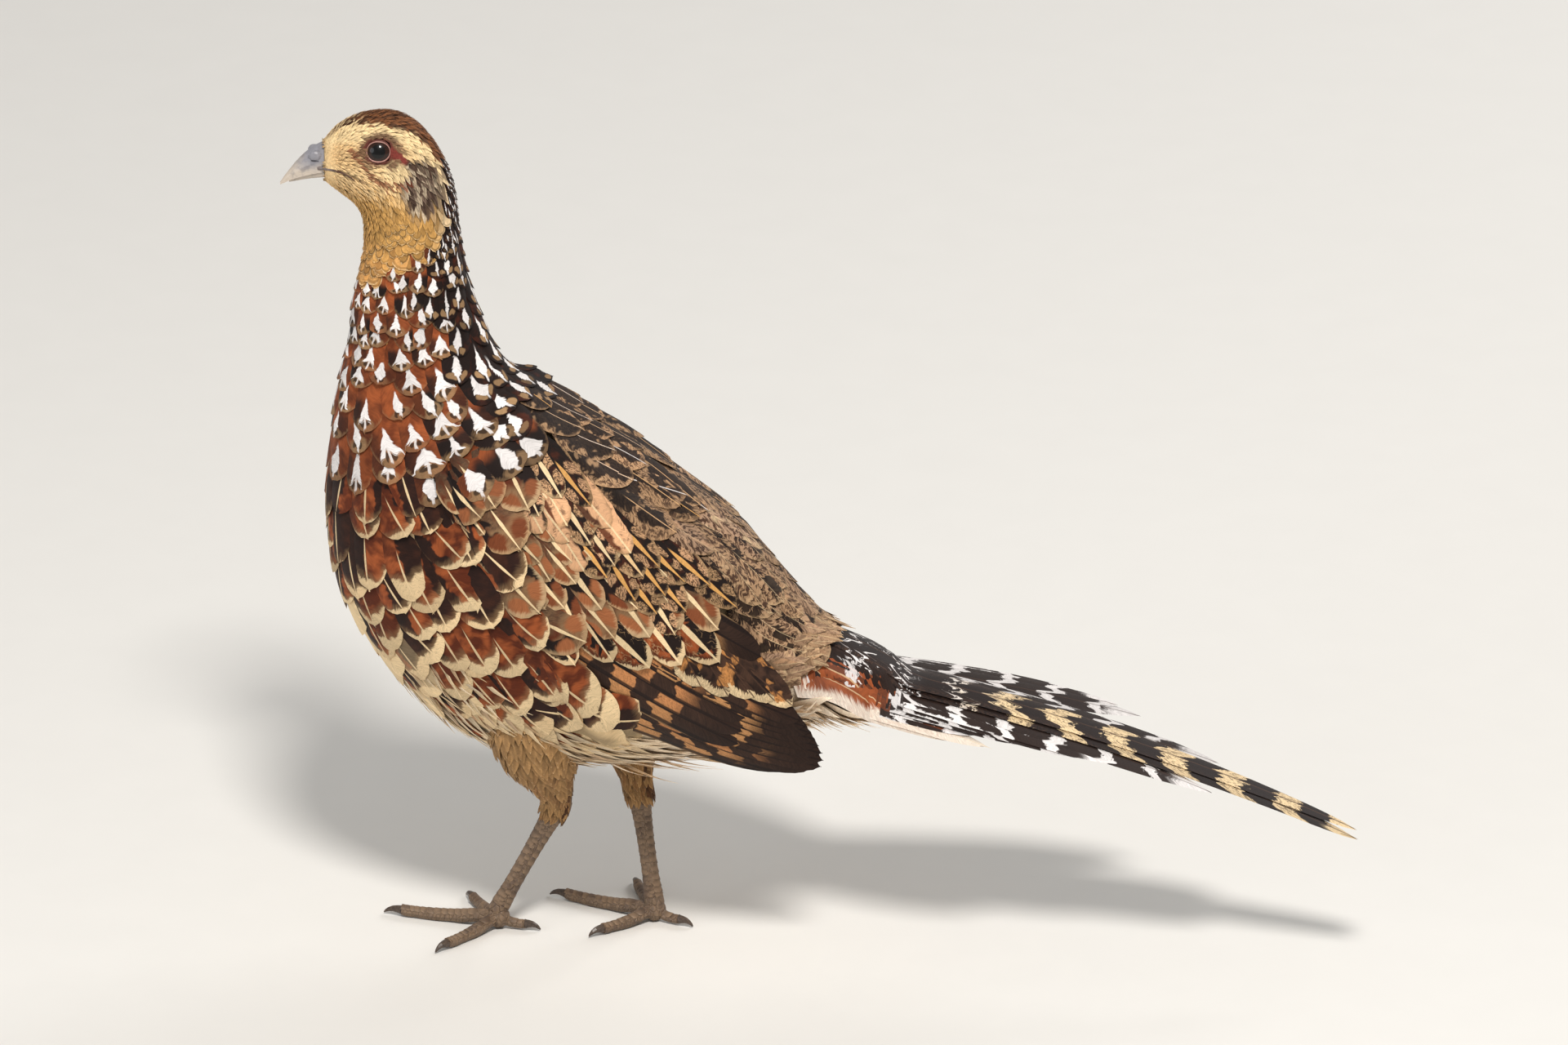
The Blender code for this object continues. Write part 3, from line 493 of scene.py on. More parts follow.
class Coat:
    """Feathers gathered by piece, then joined into one mesh of closed vanes."""

    def __init__(self):
        self.sets = []

    def add(self, points, vane, kind, patch, seeds, width, length, mark=(0, 0, 0), tint=(1, 1, 1),
            flip=False, size=0.003):
        count = len(points)
        self.sets.append(dict(
            points=points, vane=vane, kind=np.zeros(count, int) + kind, patch=patch, seeds=seeds,
            span=np.stack((np.zeros(count) + width / 2, np.zeros(count) + length,
                           np.zeros(count)), axis=-1),
            mark=np.zeros((count, 3)) + np.asarray(mark),
            tint=np.zeros((count, 3)) + np.asarray(tint), flip=flip,
            size=np.zeros(count) + size))

    def grow(self, chart, a, b, angle, length, width, lift, kind, patch, mark, tint, seeds,
             size=0.003, **shape):
        """Lays feathers on a chart and gathers them."""
        points, vane = lay(chart, a, b, angle, length, width, lift, **shape)
        self.add(points, vane, kind, patch, seeds, width, length, mark, tint, chart.hand > 0, size)

    def roots(self):
        """Places and colours of the feathers, for the skin below them."""
        places = [part["points"][:, 0].mean(axis=1) for part in self.sets]
        return np.concatenate(places), np.concatenate([part["tint"] for part in self.sets])

    def build(self, name, finishes):
        """The joined mesh: every vane has a rounded top, a flat underside and closed ends."""
        verts, corners, counts, kinds = [], [], [], []
        layers = {key: [] for key in ("Vane", "OFBake", "Pick", "Span", "Mark", "Tint")}
        start = 0
        for part in self.sets:
            n, rows, cols = part["points"].shape[:3]
            loops, sizes = vane_faces(rows, cols, part["flip"])
            offsets = start + np.arange(n)[:, None] * rows * cols
            verts.append(part["points"].reshape(-1, 3) * MM)
            corners.append((offsets + loops[None, :]).ravel())
            counts.append(np.tile(sizes, n))
            kinds.append(np.repeat(part["kind"], len(sizes)))
            vane = part["vane"].reshape(n, -1, 2)
            layers["Vane"].append(vane[:, loops].reshape(-1, 2))
            own = (vane[:, loops] * (0.5, 1) - (0, 0.5)) * part["size"][:, None, None]
            layers["OFBake"].append((part["patch"][:, None] + own).reshape(-1, 2))
            for key, source in (("Pick", "seeds"), ("Span", "span"), ("Mark", "mark"),
                                ("Tint", "tint")):
                layers[key].append(np.repeat(part[source], rows * cols, axis=0))
            start += n * rows * cols
        mesh = bpy.data.meshes.new(name)
        verts = np.concatenate(verts)
        corners = np.concatenate(corners).astype(np.int32)
        counts = np.concatenate(counts).astype(np.int32)
        mesh.vertices.add(len(verts))
        mesh.vertices.foreach_set("co", verts.ravel().astype(np.float32))
        mesh.loops.add(len(corners))
        mesh.loops.foreach_set("vertex_index", corners)
        mesh.polygons.add(len(counts))
        starts = np.concatenate(((0,), np.cumsum(counts)[:-1]))
        mesh.polygons.foreach_set("loop_start", starts.astype(np.int32))
        mesh.polygons.foreach_set("material_index", np.concatenate(kinds).astype(np.int32))
        mesh.polygons.foreach_set("use_smooth", np.ones(len(counts), dtype=bool))
        mesh.update(calc_edges=True)
        for key in ("Vane", "OFBake"):
            layer = mesh.uv_layers.new(name=key)
            layer.uv.foreach_set("vector", np.concatenate(layers[key]).ravel().astype(np.float32))
        for key in ("Pick", "Span", "Mark", "Tint"):
            write_attribute(mesh, key, np.concatenate(layers[key]))
        for finish in finishes:
            mesh.materials.append(finish)
        mesh.validate()
        mesh.set_sharp_from_angle(angle=SHARP_FROM)
        return link(bpy.data.objects.new(name, mesh))


def link(obj):
    """Puts an object into the scene."""
    bpy.context.scene.collection.objects.link(obj)
    return obj


def write_attribute(mesh, name, values):
    """Stores three numbers for each point of a mesh, for its finish to read."""
    layer = mesh.attributes.new(name, "FLOAT_VECTOR", "POINT")
    layer.data.foreach_set("vector", np.ravel(values).astype(np.float32))


def vane_faces(rows, cols, flip):
    """Corners of one vane's faces, and how many corners each face has."""
    faces = []
    for r in range(rows - 1):
        for c in range(cols - 1):
            k = r * cols + c
            faces.append((k, k + 1, k + cols + 1, k + cols))
        k = r * cols
        faces.append((k, k + cols, k + 2 * cols - 1, k + cols - 1))
    faces.append(tuple(reversed(range(cols))))
    faces.append(tuple(range((rows - 1) * cols, rows * cols)))
    if flip:
        faces = [tuple(reversed(face)) for face in faces]
    return np.array([i for face in faces for i in face]), np.array([len(face) for face in faces])


def body_patch(t, phi):
    """Where feathers of the body's chart lie in their finish's map."""
    return np.stack((phi / 7 + 0.5, t / 22), axis=-1)


def scatter(chart, low, high, spacing, seed, keep=None):
    """Chart places spread evenly over a surface, closer where the spacing is small."""
    rng = np.random.default_rng(seed)
    a = np.linspace(low[0], high[0], SCATTER_CELLS)
    b = np.linspace(low[1], high[1], SCATTER_CELLS)
    first, second = np.meshgrid(a, b, indexing="ij")
    points, _, slope_a, slope_b = chart.read(first, second)
    area = np.linalg.norm(np.cross(slope_a, slope_b), axis=-1)
    weight = area / spacing(points, first, second) ** 2
    total = weight.sum() * (a[1] - a[0]) * (b[1] - b[0])
    draws = rng.choice(weight.size, size=int(total * SCATTER_TRIES),
                       p=(weight / weight.sum()).ravel())
    i, j = np.unravel_index(draws, weight.shape)
    at_a = np.clip(a[i] + (rng.random(len(i)) - 0.5) * (a[1] - a[0]), low[0], high[0])
    at_b = np.clip(b[j] + (rng.random(len(i)) - 0.5) * (b[1] - b[0]), low[1], high[1])
    points = chart.read(at_a, at_b)[0]
    gap = spacing(points, at_a, at_b)
    if keep is not None:
        held = keep(points, at_a, at_b)
        at_a, at_b, points, gap = at_a[held], at_b[held], points[held], gap[held]
    cells = {}
    edge = float(gap.max())
    chosen = []
    for index in range(len(points)):
        here = points[index]
        cell = tuple((here // edge).astype(int))
        near = [k for x in (-1, 0, 1) for y in (-1, 0, 1) for z in (-1, 0, 1)
                for k in cells.get((cell[0] + x, cell[1] + y, cell[2] + z), ())]
        room = SCATTER_ROOM * gap[index]
        if near and np.min(np.sum((points[near] - here) ** 2, axis=-1)) < room**2:
            continue
        cells.setdefault(cell, []).append(index)
        chosen.append(index)
    return at_a[chosen], at_b[chosen], points[chosen], gap[chosen]


class Signal:
    """A value in a finish's nodes that can be reckoned with like a number."""

    def __init__(self, finish, socket):
        self.finish = finish
        self.socket = socket

    def math(self, operation, *others):
        return self.finish.math(operation, self, *others)

    def __add__(self, other):
        return self.math("ADD", other)

    __radd__ = __add__

    def __sub__(self, other):
        return self.math("SUBTRACT", other)

    def __rsub__(self, other):
        return self.finish.math("SUBTRACT", other, self)

    def __mul__(self, other):
        return self.math("MULTIPLY", other)

    __rmul__ = __mul__

    def __truediv__(self, other):
        return self.math("DIVIDE", other)

    def __abs__(self):
        return self.math("ABSOLUTE")

    def least(self, other):
        return self.math("MINIMUM", other)

    def most(self, other):
        return self.math("MAXIMUM", other)

    def step(self, low, high):
        """A smooth step from nought at low to one at high."""
        node = self.finish.node("ShaderNodeMapRange")
        node.interpolation_type = "SMOOTHSTEP"
        for key, value in (("Value", self), ("From Min", low), ("From Max", high)):
            self.finish.feed(node.inputs[key], value)
        return Signal(self.finish, node.outputs["Result"])


class Finish:
    """A procedural material with one principled shader, and shorthand for its nodes."""

    def __init__(self, name, roughness=0.6, specular=0.25, sheen=0.0, coat=0.0):
        self.material = bpy.data.materials.new(name)
        self.material.use_nodes = True
        self.tree = self.material.node_tree
        self.tree.nodes.clear()
        self.shader = self.node("ShaderNodeBsdfPrincipled")
        self.shader.inputs["Roughness"].default_value = roughness
        self.shader.inputs["Specular IOR Level"].default_value = specular
        self.shader.inputs["Sheen Weight"].default_value = sheen
        self.shader.inputs["Coat Weight"].default_value = coat
        self.shader.inputs["Coat Roughness"].default_value = 0.03
        out = self.node("ShaderNodeOutputMaterial")
        self.tree.links.new(self.shader.outputs[0], out.inputs["Surface"])

    def node(self, kind):
        return self.tree.nodes.new(kind)

    def feed(self, socket, value):
        """Links a signal, or sets a number or colour."""
        if isinstance(value, Signal):
            self.tree.links.new(value.socket, socket)
        elif hasattr(value, "__len__"):
            socket.default_value = (*value, 1) if len(socket.default_value) == 4 else tuple(value)
        else:
            socket.default_value = value

    def math(self, operation, *values):
        node = self.node("ShaderNodeMath")
        node.operation = operation
        for socket, value in zip(node.inputs, values):
            self.feed(socket, value)
        return Signal(self, node.outputs[0])

    def split(self, signal):
        node = self.node("ShaderNodeSeparateXYZ")
        self.feed(node.inputs[0], signal)
        return [Signal(self, out) for out in node.outputs]

    def join(self, x, y, z):
        node = self.node("ShaderNodeCombineXYZ")
        for socket, value in zip(node.inputs, (x, y, z)):
            self.feed(socket, value)
        return Signal(self, node.outputs[0])

    def uv(self, name):
        node = self.node("ShaderNodeUVMap")
        node.uv_map = name
        return self.split(Signal(self, node.outputs[0]))[:2]

    def attribute(self, name, colour=False):
        node = self.node("ShaderNodeAttribute")
        node.attribute_name = name
        return Signal(self, node.outputs["Color"]) if colour else self.split(
            Signal(self, node.outputs["Vector"]))

    def place(self):
        return Signal(self, self.node("ShaderNodeTexCoord").outputs["Object"])

    def noise(self, vector, scale, detail, rough, warp=0.0):
        node = self.node("ShaderNodeTexNoise")
        self.feed(node.inputs["Vector"], vector)
        for key, value in (("Scale", scale), ("Detail", detail), ("Roughness", rough),
                           ("Distortion", warp)):
            node.inputs[key].default_value = value
        return Signal(self, node.outputs["Fac"])

    def cells(self, vector, scale, feature="F1"):
        node = self.node("ShaderNodeTexVoronoi")
        node.feature = feature
        self.feed(node.inputs["Vector"], vector)
        node.inputs["Scale"].default_value = scale
        return Signal(self, node.outputs["Distance"])

    def mix(self, share, first, second, blend="MIX"):
        """first where share is nought, second where it is one."""
        node = self.node("ShaderNodeMix")
        node.data_type = "RGBA"
        node.blend_type = blend
        for key, value in (("Factor_Float", share), ("A_Color", first), ("B_Color", second)):
            self.feed(next(s for s in node.inputs if s.identifier == key), value)
        return Signal(self, next(s for s in node.outputs if s.identifier == "Result_Color"))

    def shade(self, tone, signal):
        """A colour made lighter or darker by a number."""
        return self.mix(1.0, tone, self.join(signal, signal, signal), "MULTIPLY")

    def finish(self, tone, height=None, depth=0.0001, strength=0.6):
        """Sets the colour and the relief, and gives the material."""
        self.feed(self.shader.inputs["Base Color"], tone)
        if height is not None:
            bump = self.node("ShaderNodeBump")
            bump.inputs["Distance"].default_value = depth
            bump.inputs["Strength"].default_value = strength
            self.feed(bump.inputs["Height"], height)
            self.tree.links.new(bump.outputs[0], self.shader.inputs["Normal"])
        return self.material


class Vane:
    """What every feather's finish starts from: its coordinates, barbs, marks and random picks."""

    def __init__(self, name, sheen=0.03, roughness=0.66, warp=1.0):
        self.f = Finish(name, roughness=roughness, specular=0.14, sheen=sheen)
        raw_x, raw_y = self.f.uv("Vane")
        self.pick, self.pick2, self.pick3 = self.f.attribute("Pick")
        self.half, self.length, _ = self.f.attribute("Span")
        bend = self.f.noise(self.f.join(raw_y * 3.1, raw_x * 1.3, self.pick * 70), 1, 1, 0.5)
        stir = self.f.noise(self.f.join(raw_x * 2.3, raw_y * 2.0, self.pick3 * 70), 1, 1, 0.5)
        self.x = raw_x + (bend - 0.5) * 0.42 * warp
        self.y = raw_y + (stir - 0.5) * 0.17 * warp
        self.mark, self.fringe, self.black = self.f.attribute("Mark")
        self.tint = self.f.attribute("Tint", colour=True)
        self.ax = abs(self.x)
        self.raw = abs(raw_x)
        self.far = self.raw * self.half
        self.down = self.y * self.length
        self.barb = self.down - self.far * 0.75
        side = self.x.step(-0.01, 0.01)
        seed = self.pick * 90 + side * 7
        self.streak = self.f.noise(self.f.join(self.barb * 1.1, self.far * 0.16, seed), 1, 3, 0.6)
        self.fine = self.f.noise(self.f.join(self.barb * 4.0, self.far * 0.35, seed), 1, 2, 0.6)
        self.wave = self.f.noise(self.f.join(self.down * 0.16, self.x * 1.4, seed + 31), 1, 2, 0.5)
        self.hand = self.pick2.step(0.49, 0.51) * 2 - 1
        tip = (raw_y - 0.55).most(0) / 0.45
        self.rim = (raw_x * raw_x + tip * tip).math("SQRT") + self.jag(0.26)

    def jag(self, amount):
        """Raggedness along the barbs, either side of nought."""
        return (self.streak - 0.5) * amount

    def drift(self, amount):
        """A slow waver down the feather, either side of nought."""
        return (self.wave - 0.5) * amount

    def belly(self, start, rise, end, fall):
        """One at a marking's middle, falling to nought towards both its ends."""
        return ((self.y - start) / rise).least((end - self.y) / fall).most(0).least(1)

    def wedge(self, half):
        """One within a streak on the shaft, of a half width in millimetres."""
        return (self.far - half).step(0.12, -0.12)

    def blots(self, along, across, seed, *look):
        """Uneven blotches down the feather and across it."""
        place = self.f.join(self.down * along, self.x * across, self.pick * seed)
        return self.f.noise(place, 1, *look)

    def marble(self, along, across):
        """Fine wavy freckles, drawn out across the feather."""
        place = self.f.join(self.barb * along, self.x * self.half * across, self.pick * 50)
        return self.f.noise(place, 1, 3, 0.65, 0.5).step(0.45, 0.56)

    def shaft(self, tone, shaft_tone, width, start, share):
        """A thin line on the shaft in its own colour."""
        line = self.far.step(width + 0.12, width - 0.05) * self.y.step(start, start + 0.12)
        return self.f.mix(line * share, tone, shaft_tone)

    def close(self, tone, soft=0.75, fade=True):
        """Ends a feather's finish with its barbs and its darker root: partly its grey down, partly
        painted shade under the feathers that lie over it.
        """
        light = 1 - soft * 0.9 + soft * (self.fine * 0.8 + self.streak)
        # Darker towards the root: the grey down there, and painted shade under the overlapping
        # feathers.
        if fade:
            light = light * (0.55 + 0.45 * self.y.step(0.05, 0.5))
        light = light * (0.82 + 0.36 * self.pick3)
        tone = self.f.shade(tone, light)
        height = self.fine * 0.7 + self.far.step(0.5, 0.1) * 0.5
        return self.f.finish(tone, height, 0.00016, 0.5)


def arrow_finish(h):
    """Rufous with a white arrowhead, and a grey buff tip below it."""
    v = Vane("Arrow feather")
    f = v.f
    tone = f.mix(v.wave.step(0.35, 0.7) * 0.75, h.rufous, h.chestnut)
    side = v.x * v.hand
    dark = (side.step(-0.3, 0.5) * 0.55 + v.black).least(1) * v.y.step(0.35, 0.6)
    tone = f.mix(dark, tone, h.soot)
    leaf = v.pick2.step(0.48, 0.52)
    reach = ((v.y - 0.42) / 0.36).most(0).math("POWER", 1.3)
    reach = reach.least(1.35) * (1 - leaf * (1 - ((0.90 - v.y) / 0.15).most(0).least(1)))
    foot = 0.775 + leaf * 0.1 + 0.07 * v.ax / v.mark + v.jag(0.2)
    white = (0.05 + reach * v.mark - v.ax + v.jag(0.18)).step(0.0, 0.05)
    white = white * (foot - v.y).step(-0.01, 0.02) * v.y.step(0.42, 0.50)
    stem = (0.06 - v.ax).step(-0.02, 0.02) * v.y.step(0.55, 0.7) * (0.98 - v.y).step(0, 0.04)
    tip = ((v.y - 0.22 * v.ax + v.jag(0.12)).step(0.69, 0.77) * v.ax.step(0.66, 0.42)
           ).most(v.rim.step(0.84, 0.96) * 0.5) * v.fringe
    eye_x = (v.ax - 0.17) / 0.13
    eye_y = (v.y - 0.865) / 0.05
    eyes = (eye_x * eye_x + eye_y * eye_y).step(1.5, 0.6)
    tone = f.mix(tip * 0.9, tone, f.mix(0.12 + v.pick2 * 0.35, h.buff, h.umber))
    tone = f.mix(eyes * 0.8, tone, h.soot)
    return v.close(f.mix(white.most(stem * 0.8), tone, h.white))


def lance_finish(h):
    """Black with a white leaf on the shaft, and two buff half moons at the tip."""
    v = Vane("Lance feather")
    f = v.f
    x = v.x + (v.pick2 - 0.5) * 0.14
    ax = abs(x)
    tone = f.mix(v.wave.step(0.5, 0.75) * 0.5, h.soot, h.chestnut)
    half = v.belly(0.42, 0.36, 0.89, 0.17).math("POWER", 0.8)
    half = half * v.mark
    white = (half - ax + v.jag(0.28)).step(-0.005, 0.05) * half.step(0.01, 0.04)
    stem = (0.055 - ax).step(-0.02, 0.02) * v.y.step(0.3, 0.5) * (0.98 - v.y).step(0, 0.05)
    moon_x = (v.ax - 0.30) / 0.22
    moon_y = (v.y - 0.90 + 0.18 * v.ax) / 0.07
    moons = (moon_x * moon_x + moon_y * moon_y + v.jag(0.8)).step(1.35, 0.6)
    tone = f.mix(moons * v.fringe, tone, f.mix(v.streak * 0.3, h.buff, h.umber))
    return v.close(f.mix(white.most(stem * 0.85), tone, h.white))


def oval_finish(h):
    """One web rufous and one dark, with a cream shaft and a broad cream tip."""
    v = Vane("Flank feather")
    f = v.f
    bowl = (v.ax * v.ax * 0.17 + v.y + v.jag(0.07) + v.drift(0.12)) * 1.1
    core = bowl.most(v.ax - 0.12 + v.jag(0.12))
    web = (v.x * v.hand + v.drift(0.8) + (v.pick3 - 0.5) * 1.3).step(-0.05, 0.05)
    inner = f.mix(v.wave.step(0.3, 0.6), h.rufous, h.chestnut)
    inner = f.mix(web * 0.92, inner, h.soot)
    inner = f.mix(core.step(v.mark - 0.12, v.mark) * 0.3, inner, h.buff)
    speck = f.noise(f.join(v.down * 1.4, v.x * v.half * 1.4, v.pick * 40), 1, 2, 0.6)
    cream = f.mix(speck.step(0.62, 0.70) * 0.6, f.mix(v.pick2 * 0.35, h.cream, h.buff), h.umber)
    edge = core.step(v.mark - 0.01, v.mark + 0.04)
    tone = f.mix(edge, inner, cream)
    tone = f.mix(v.black.step(0.4, 0.6), tone, h.cream)
    wedge = v.wedge(0.14 + 0.45 * v.belly(0.35, 0.3, 0.98, 0.25))
    return v.close(f.mix(wedge * v.y.step(0.3, 0.45) * 0.9, tone, h.cream))


def covert_finish(h):
    """Brown and rufous with dark above, a cream drop on the shaft and a thin pale tip."""
    v = Vane("Covert feather")
    f = v.f
    marble = v.marble(0.8, 0.6)
    tone = f.mix(v.wave.step(0.25, 0.7), h.chestnut, f.mix(0.25, h.umber, h.buff))
    tone = f.mix(marble * v.wave.step(0.35, 0.6) * 0.6, tone, h.umber)
    spot_y = (v.y - 0.80) / 0.14
    spot_x = (v.ax - 0.42 - (v.x * v.hand).step(0, 0.1) * 0.1) / 0.36
    spot = (spot_x * spot_x + spot_y * spot_y).math("SQRT") + v.jag(0.45)
    ring = spot.step(1.75, 1.15)
    tone = f.mix(ring * 0.38, tone, h.buff)
    dark = (v.x * v.hand + v.drift(1.3) + v.black - 0.55).step(-0.05, 0.1)
    tone = f.mix(dark * v.y.step(0.96, 0.76), tone, h.soot)
    oval = f.mix(v.pick3.step(0.1, 0.9) * 0.8, f.mix(0.25, h.rufous, h.buff), h.chestnut)
    tone = f.mix(spot.step(1.15, 0.75), tone, oval)
    tone = f.mix((v.rim + (v.pick2 - 0.5) * 0.1).step(0.80, 0.95) * v.fringe * 0.75, tone,
                 f.mix(v.pick2 * 0.7, h.buff, h.cream))
    drop = v.belly(0.36, 0.24, 1.02, 0.42)
    wedge = v.wedge(0.10 + v.mark * drop - v.jag(0.25))
    return v.close(f.mix(wedge * v.y.step(0.28, 0.4), tone, h.cream))


def pale_finish(h):
    """The pinkish buff blotches of the shoulder, freckled and edged with brown."""
    v = Vane("Pale shoulder feather")
    f = v.f
    spot = v.marble(0.7, 0.5)
    tone = f.mix((spot * v.wave.step(0.45, 0.6)) * 0.7, h.pink_buff, h.umber)
    side = (v.x * v.hand + v.drift(0.5)).step(0.28, 0.42)
    tone = f.mix(side * 0.92, tone, f.mix(v.pick3, h.soot, h.chestnut))
    tone = f.mix(v.rim.step(0.86, 1.0) * 0.7, tone, h.buff)
    return v.close(v.shaft(tone, h.cream, 0.35, 0.2, 0.95))


def scapular_finish(h):
    """Black with a golden shaft, marbled buff spots beside it and a grey buff tip."""
    v = Vane("Scapular feather")
    f = v.f
    spots = f.mix(v.marble(1.3, 1.3) * 0.85, f.mix(v.pick2, h.buff, h.pink_buff), h.soot)
    one = (v.y - 0.83) / 0.085
    two = (v.y - 0.60) / 0.085
    side = (v.ax - 0.55) / 0.38
    reach = ((one * one).least(two * two) + side * side).math("SQRT") + v.jag(0.45)
    tone = f.mix(v.wave.step(0.5, 0.75) * 0.55, h.soot, h.chestnut)
    tone = f.mix(reach.step(1.1, 0.85), tone, spots)
    tip = (v.rim + v.hand * v.x * 0.08).step(0.88, 0.98)
    tone = f.mix(tip * v.fringe * 0.8, tone, f.mix(v.pick3 * 0.4, h.buff, h.cream))
    wedge = v.wedge(0.1 + 0.95 * v.belly(0.42, 0.2, 1.02, 0.34)) * v.y.step(0.42, 0.5)
    return v.close(f.mix(wedge, tone, f.mix(v.pick3.step(0.35, 0.5), h.gold, h.cream)))


def back_finish(h):
    """Marbled brown and buff over a dark middle, with a thin white shaft."""
    v = Vane("Back feather")
    f = v.f
    marble = v.marble(0.75, 0.55)
    pale = f.mix(v.pick2 * 0.4, f.mix(0.3, h.buff, h.grey_brown), h.pink_buff)
    tone = f.mix(marble * 0.9, pale, h.umber)
    core = v.ax - 0.30 - v.drift(1.6) - (v.mark - 0.8) * 3 + (v.y - 0.8).most(0) * 2.2
    tone = f.mix(core.step(0.12, -0.02) * 0.95, tone, h.soot)
    tone = f.mix(v.wave.step(0.62, 0.70) * v.black * 0.8, tone, pale)
    tone = f.mix(v.rim.step(0.85, 1.0) * 0.5, tone, pale)
    return v.close(v.shaft(tone, f.mix(v.pick, h.white, h.gold), 0.22, 0.25, 0.9))


def rump_finish(h):
    """Finely marbled in grey brown and dark."""
    v = Vane("Rump feather")
    f = v.f
    bars = v.marble(0.55, 0.35)
    tone = f.mix(bars * v.mark, f.mix(v.pick2 * 0.6, h.grey_brown, h.buff), h.umber)
    tone = f.mix(v.wave.step(0.55, 0.66) * 0.45, tone, f.mix(v.pick, h.cream, h.pink_buff))
    blot = (v.wave + v.jag(0.5) + (bars - 0.5) * 0.05 - v.ax * 0.12).step(0.45, 0.49)
    tone = f.mix(blot * v.black.step(0.30, 0.45) * v.y.step(1.0, 0.9) * 0.95, tone, h.soot)
    tone = f.mix(v.rim.step(0.88, 1.0) * 0.35, tone, f.mix(v.pick3, h.buff, h.cream))
    return v.close(v.shaft(tone, h.cream, 0.12, 0.3, 0.5))


def plain_finish(h):
    """Short plumage in its own colour, darker at the shafts and paler at the tips."""
    v = Vane("Small feather")
    f = v.f
    tone = f.shade(v.tint, 0.72 + 0.34 * v.y + 0.16 * v.pick2)
    line = v.ax.step(0.5, 0.1) * v.y.step(0.98, 0.75)
    tone = f.mix(line * v.mark, tone, f.shade(v.tint, 0.4))
    scallop = v.rim.step(0.60, 0.74) * v.rim.step(1.0, 0.86)
    tone = f.mix(scallop * v.black, tone, f.shade(v.tint, 0.34))
    tone = f.mix(v.rim.step(0.84, 1.0) * v.fringe, tone, h.cream)
    return v.close(tone, 0.7)


def primary_finish(h):
    """Dark flight feather with rufous buff blocks on its outer web."""
    v = Vane("Flight feather", sheen=0.05, roughness=0.5, warp=0.4)
    f = v.f
    saw = ((v.down + v.x * 2.5 + v.drift(10)) / 24 + v.pick * 0.7).math("FRACT")
    bar = saw.step(0.46, 0.50) * saw.step(0.99, 0.95)
    web = (v.x * v.mark).step(0.05, 0.12)
    freckle = v.marble(1.0, 1.4)
    bar = bar * web * v.y.step(0.84, 0.70) * (1 - freckle * 0.25)
    pale = f.mix(v.pick3.step(0.2, 0.8) * 0.3 + 0.25, f.mix(0.4, h.gold, h.pink_buff), h.rufous)
    dark = f.mix(v.streak * 0.6 + 0.1, h.soot, h.umber)
    tone = f.mix(bar * 0.92, dark, pale)
    tone = f.mix(v.raw.step(0.62, 0.72) * 0.9, tone, h.soot)
    tone = f.mix(v.y.step(0.80, 0.95) * 0.5, tone, h.soot)
    tone = f.mix(v.raw.step(0.90, 0.96) * 0.45, tone, h.buff)
    return v.close(v.shaft(tone, h.soot, 0.4, 0.0, 0.9), fade=False)


def tertial_finish(h):
    """Long inner feather, dark brown with orange blotches and a cream tip edge."""
    v = Vane("Tertial feather", sheen=0.06)
    f = v.f
    blot = v.blots(0.075, 0.9, 50, 2, 0.5, 0.3)
    marble = v.marble(1.1, 1.1)
    tone = f.mix(v.wave.step(0.3, 0.7), h.umber, h.soot)
    patch = f.mix(marble * 0.45, f.mix(0.5, h.rufous, h.gold), h.umber)
    tone = f.mix(blot.step(0.52, 0.56) * 0.95, tone, patch)
    low = (v.rim - v.x * 0.22 + v.drift(0.2)).step(0.86, 0.91) * v.y.step(0.6, 0.8)
    tone = f.mix(low * v.fringe, tone, f.mix(marble * 0.3, h.cream, h.umber))
    return v.close(v.shaft(tone, h.umber, 0.3, 0.1, 0.8), fade=False)


def greater_finish(h):
    """Large wing covert: chestnut and black, with a ragged cream tip and shaft."""
    v = Vane("Greater covert")
    f = v.f
    blot = v.blots(0.11, 0.8, 50, 2, 0.5, 0.3)
    tone = f.mix(v.wave.step(0.3, 0.7), h.rufous, h.chestnut)
    tone = f.mix((v.x * v.hand * 0.4 + blot).step(0.46, 0.50), tone, h.soot)
    vein = v.blots(0.2, 3.2, 30, 2, 0.5, 0.8)
    tone = f.mix(abs(vein - 0.5).step(0.035, 0.015) * v.ax.step(0.2, 0.4) * 0.6, tone, h.buff)
    tone = f.mix(v.rim.step(0.74, 0.82) * 0.6, tone, h.soot)
    edge = (v.rim + v.drift(0.4) + (v.y - 0.85) * 0.5).step(0.86, 0.93)
    tone = f.mix(edge * v.fringe, tone, f.mix(v.streak * 0.5, h.cream, h.buff))
    drop = v.belly(0.30, 0.30, 1.04, 0.35)
    wedge = v.wedge(0.12 + v.mark * drop - v.jag(0.3))
    return v.close(f.mix(wedge * v.y.step(0.2, 0.4), tone, h.cream))


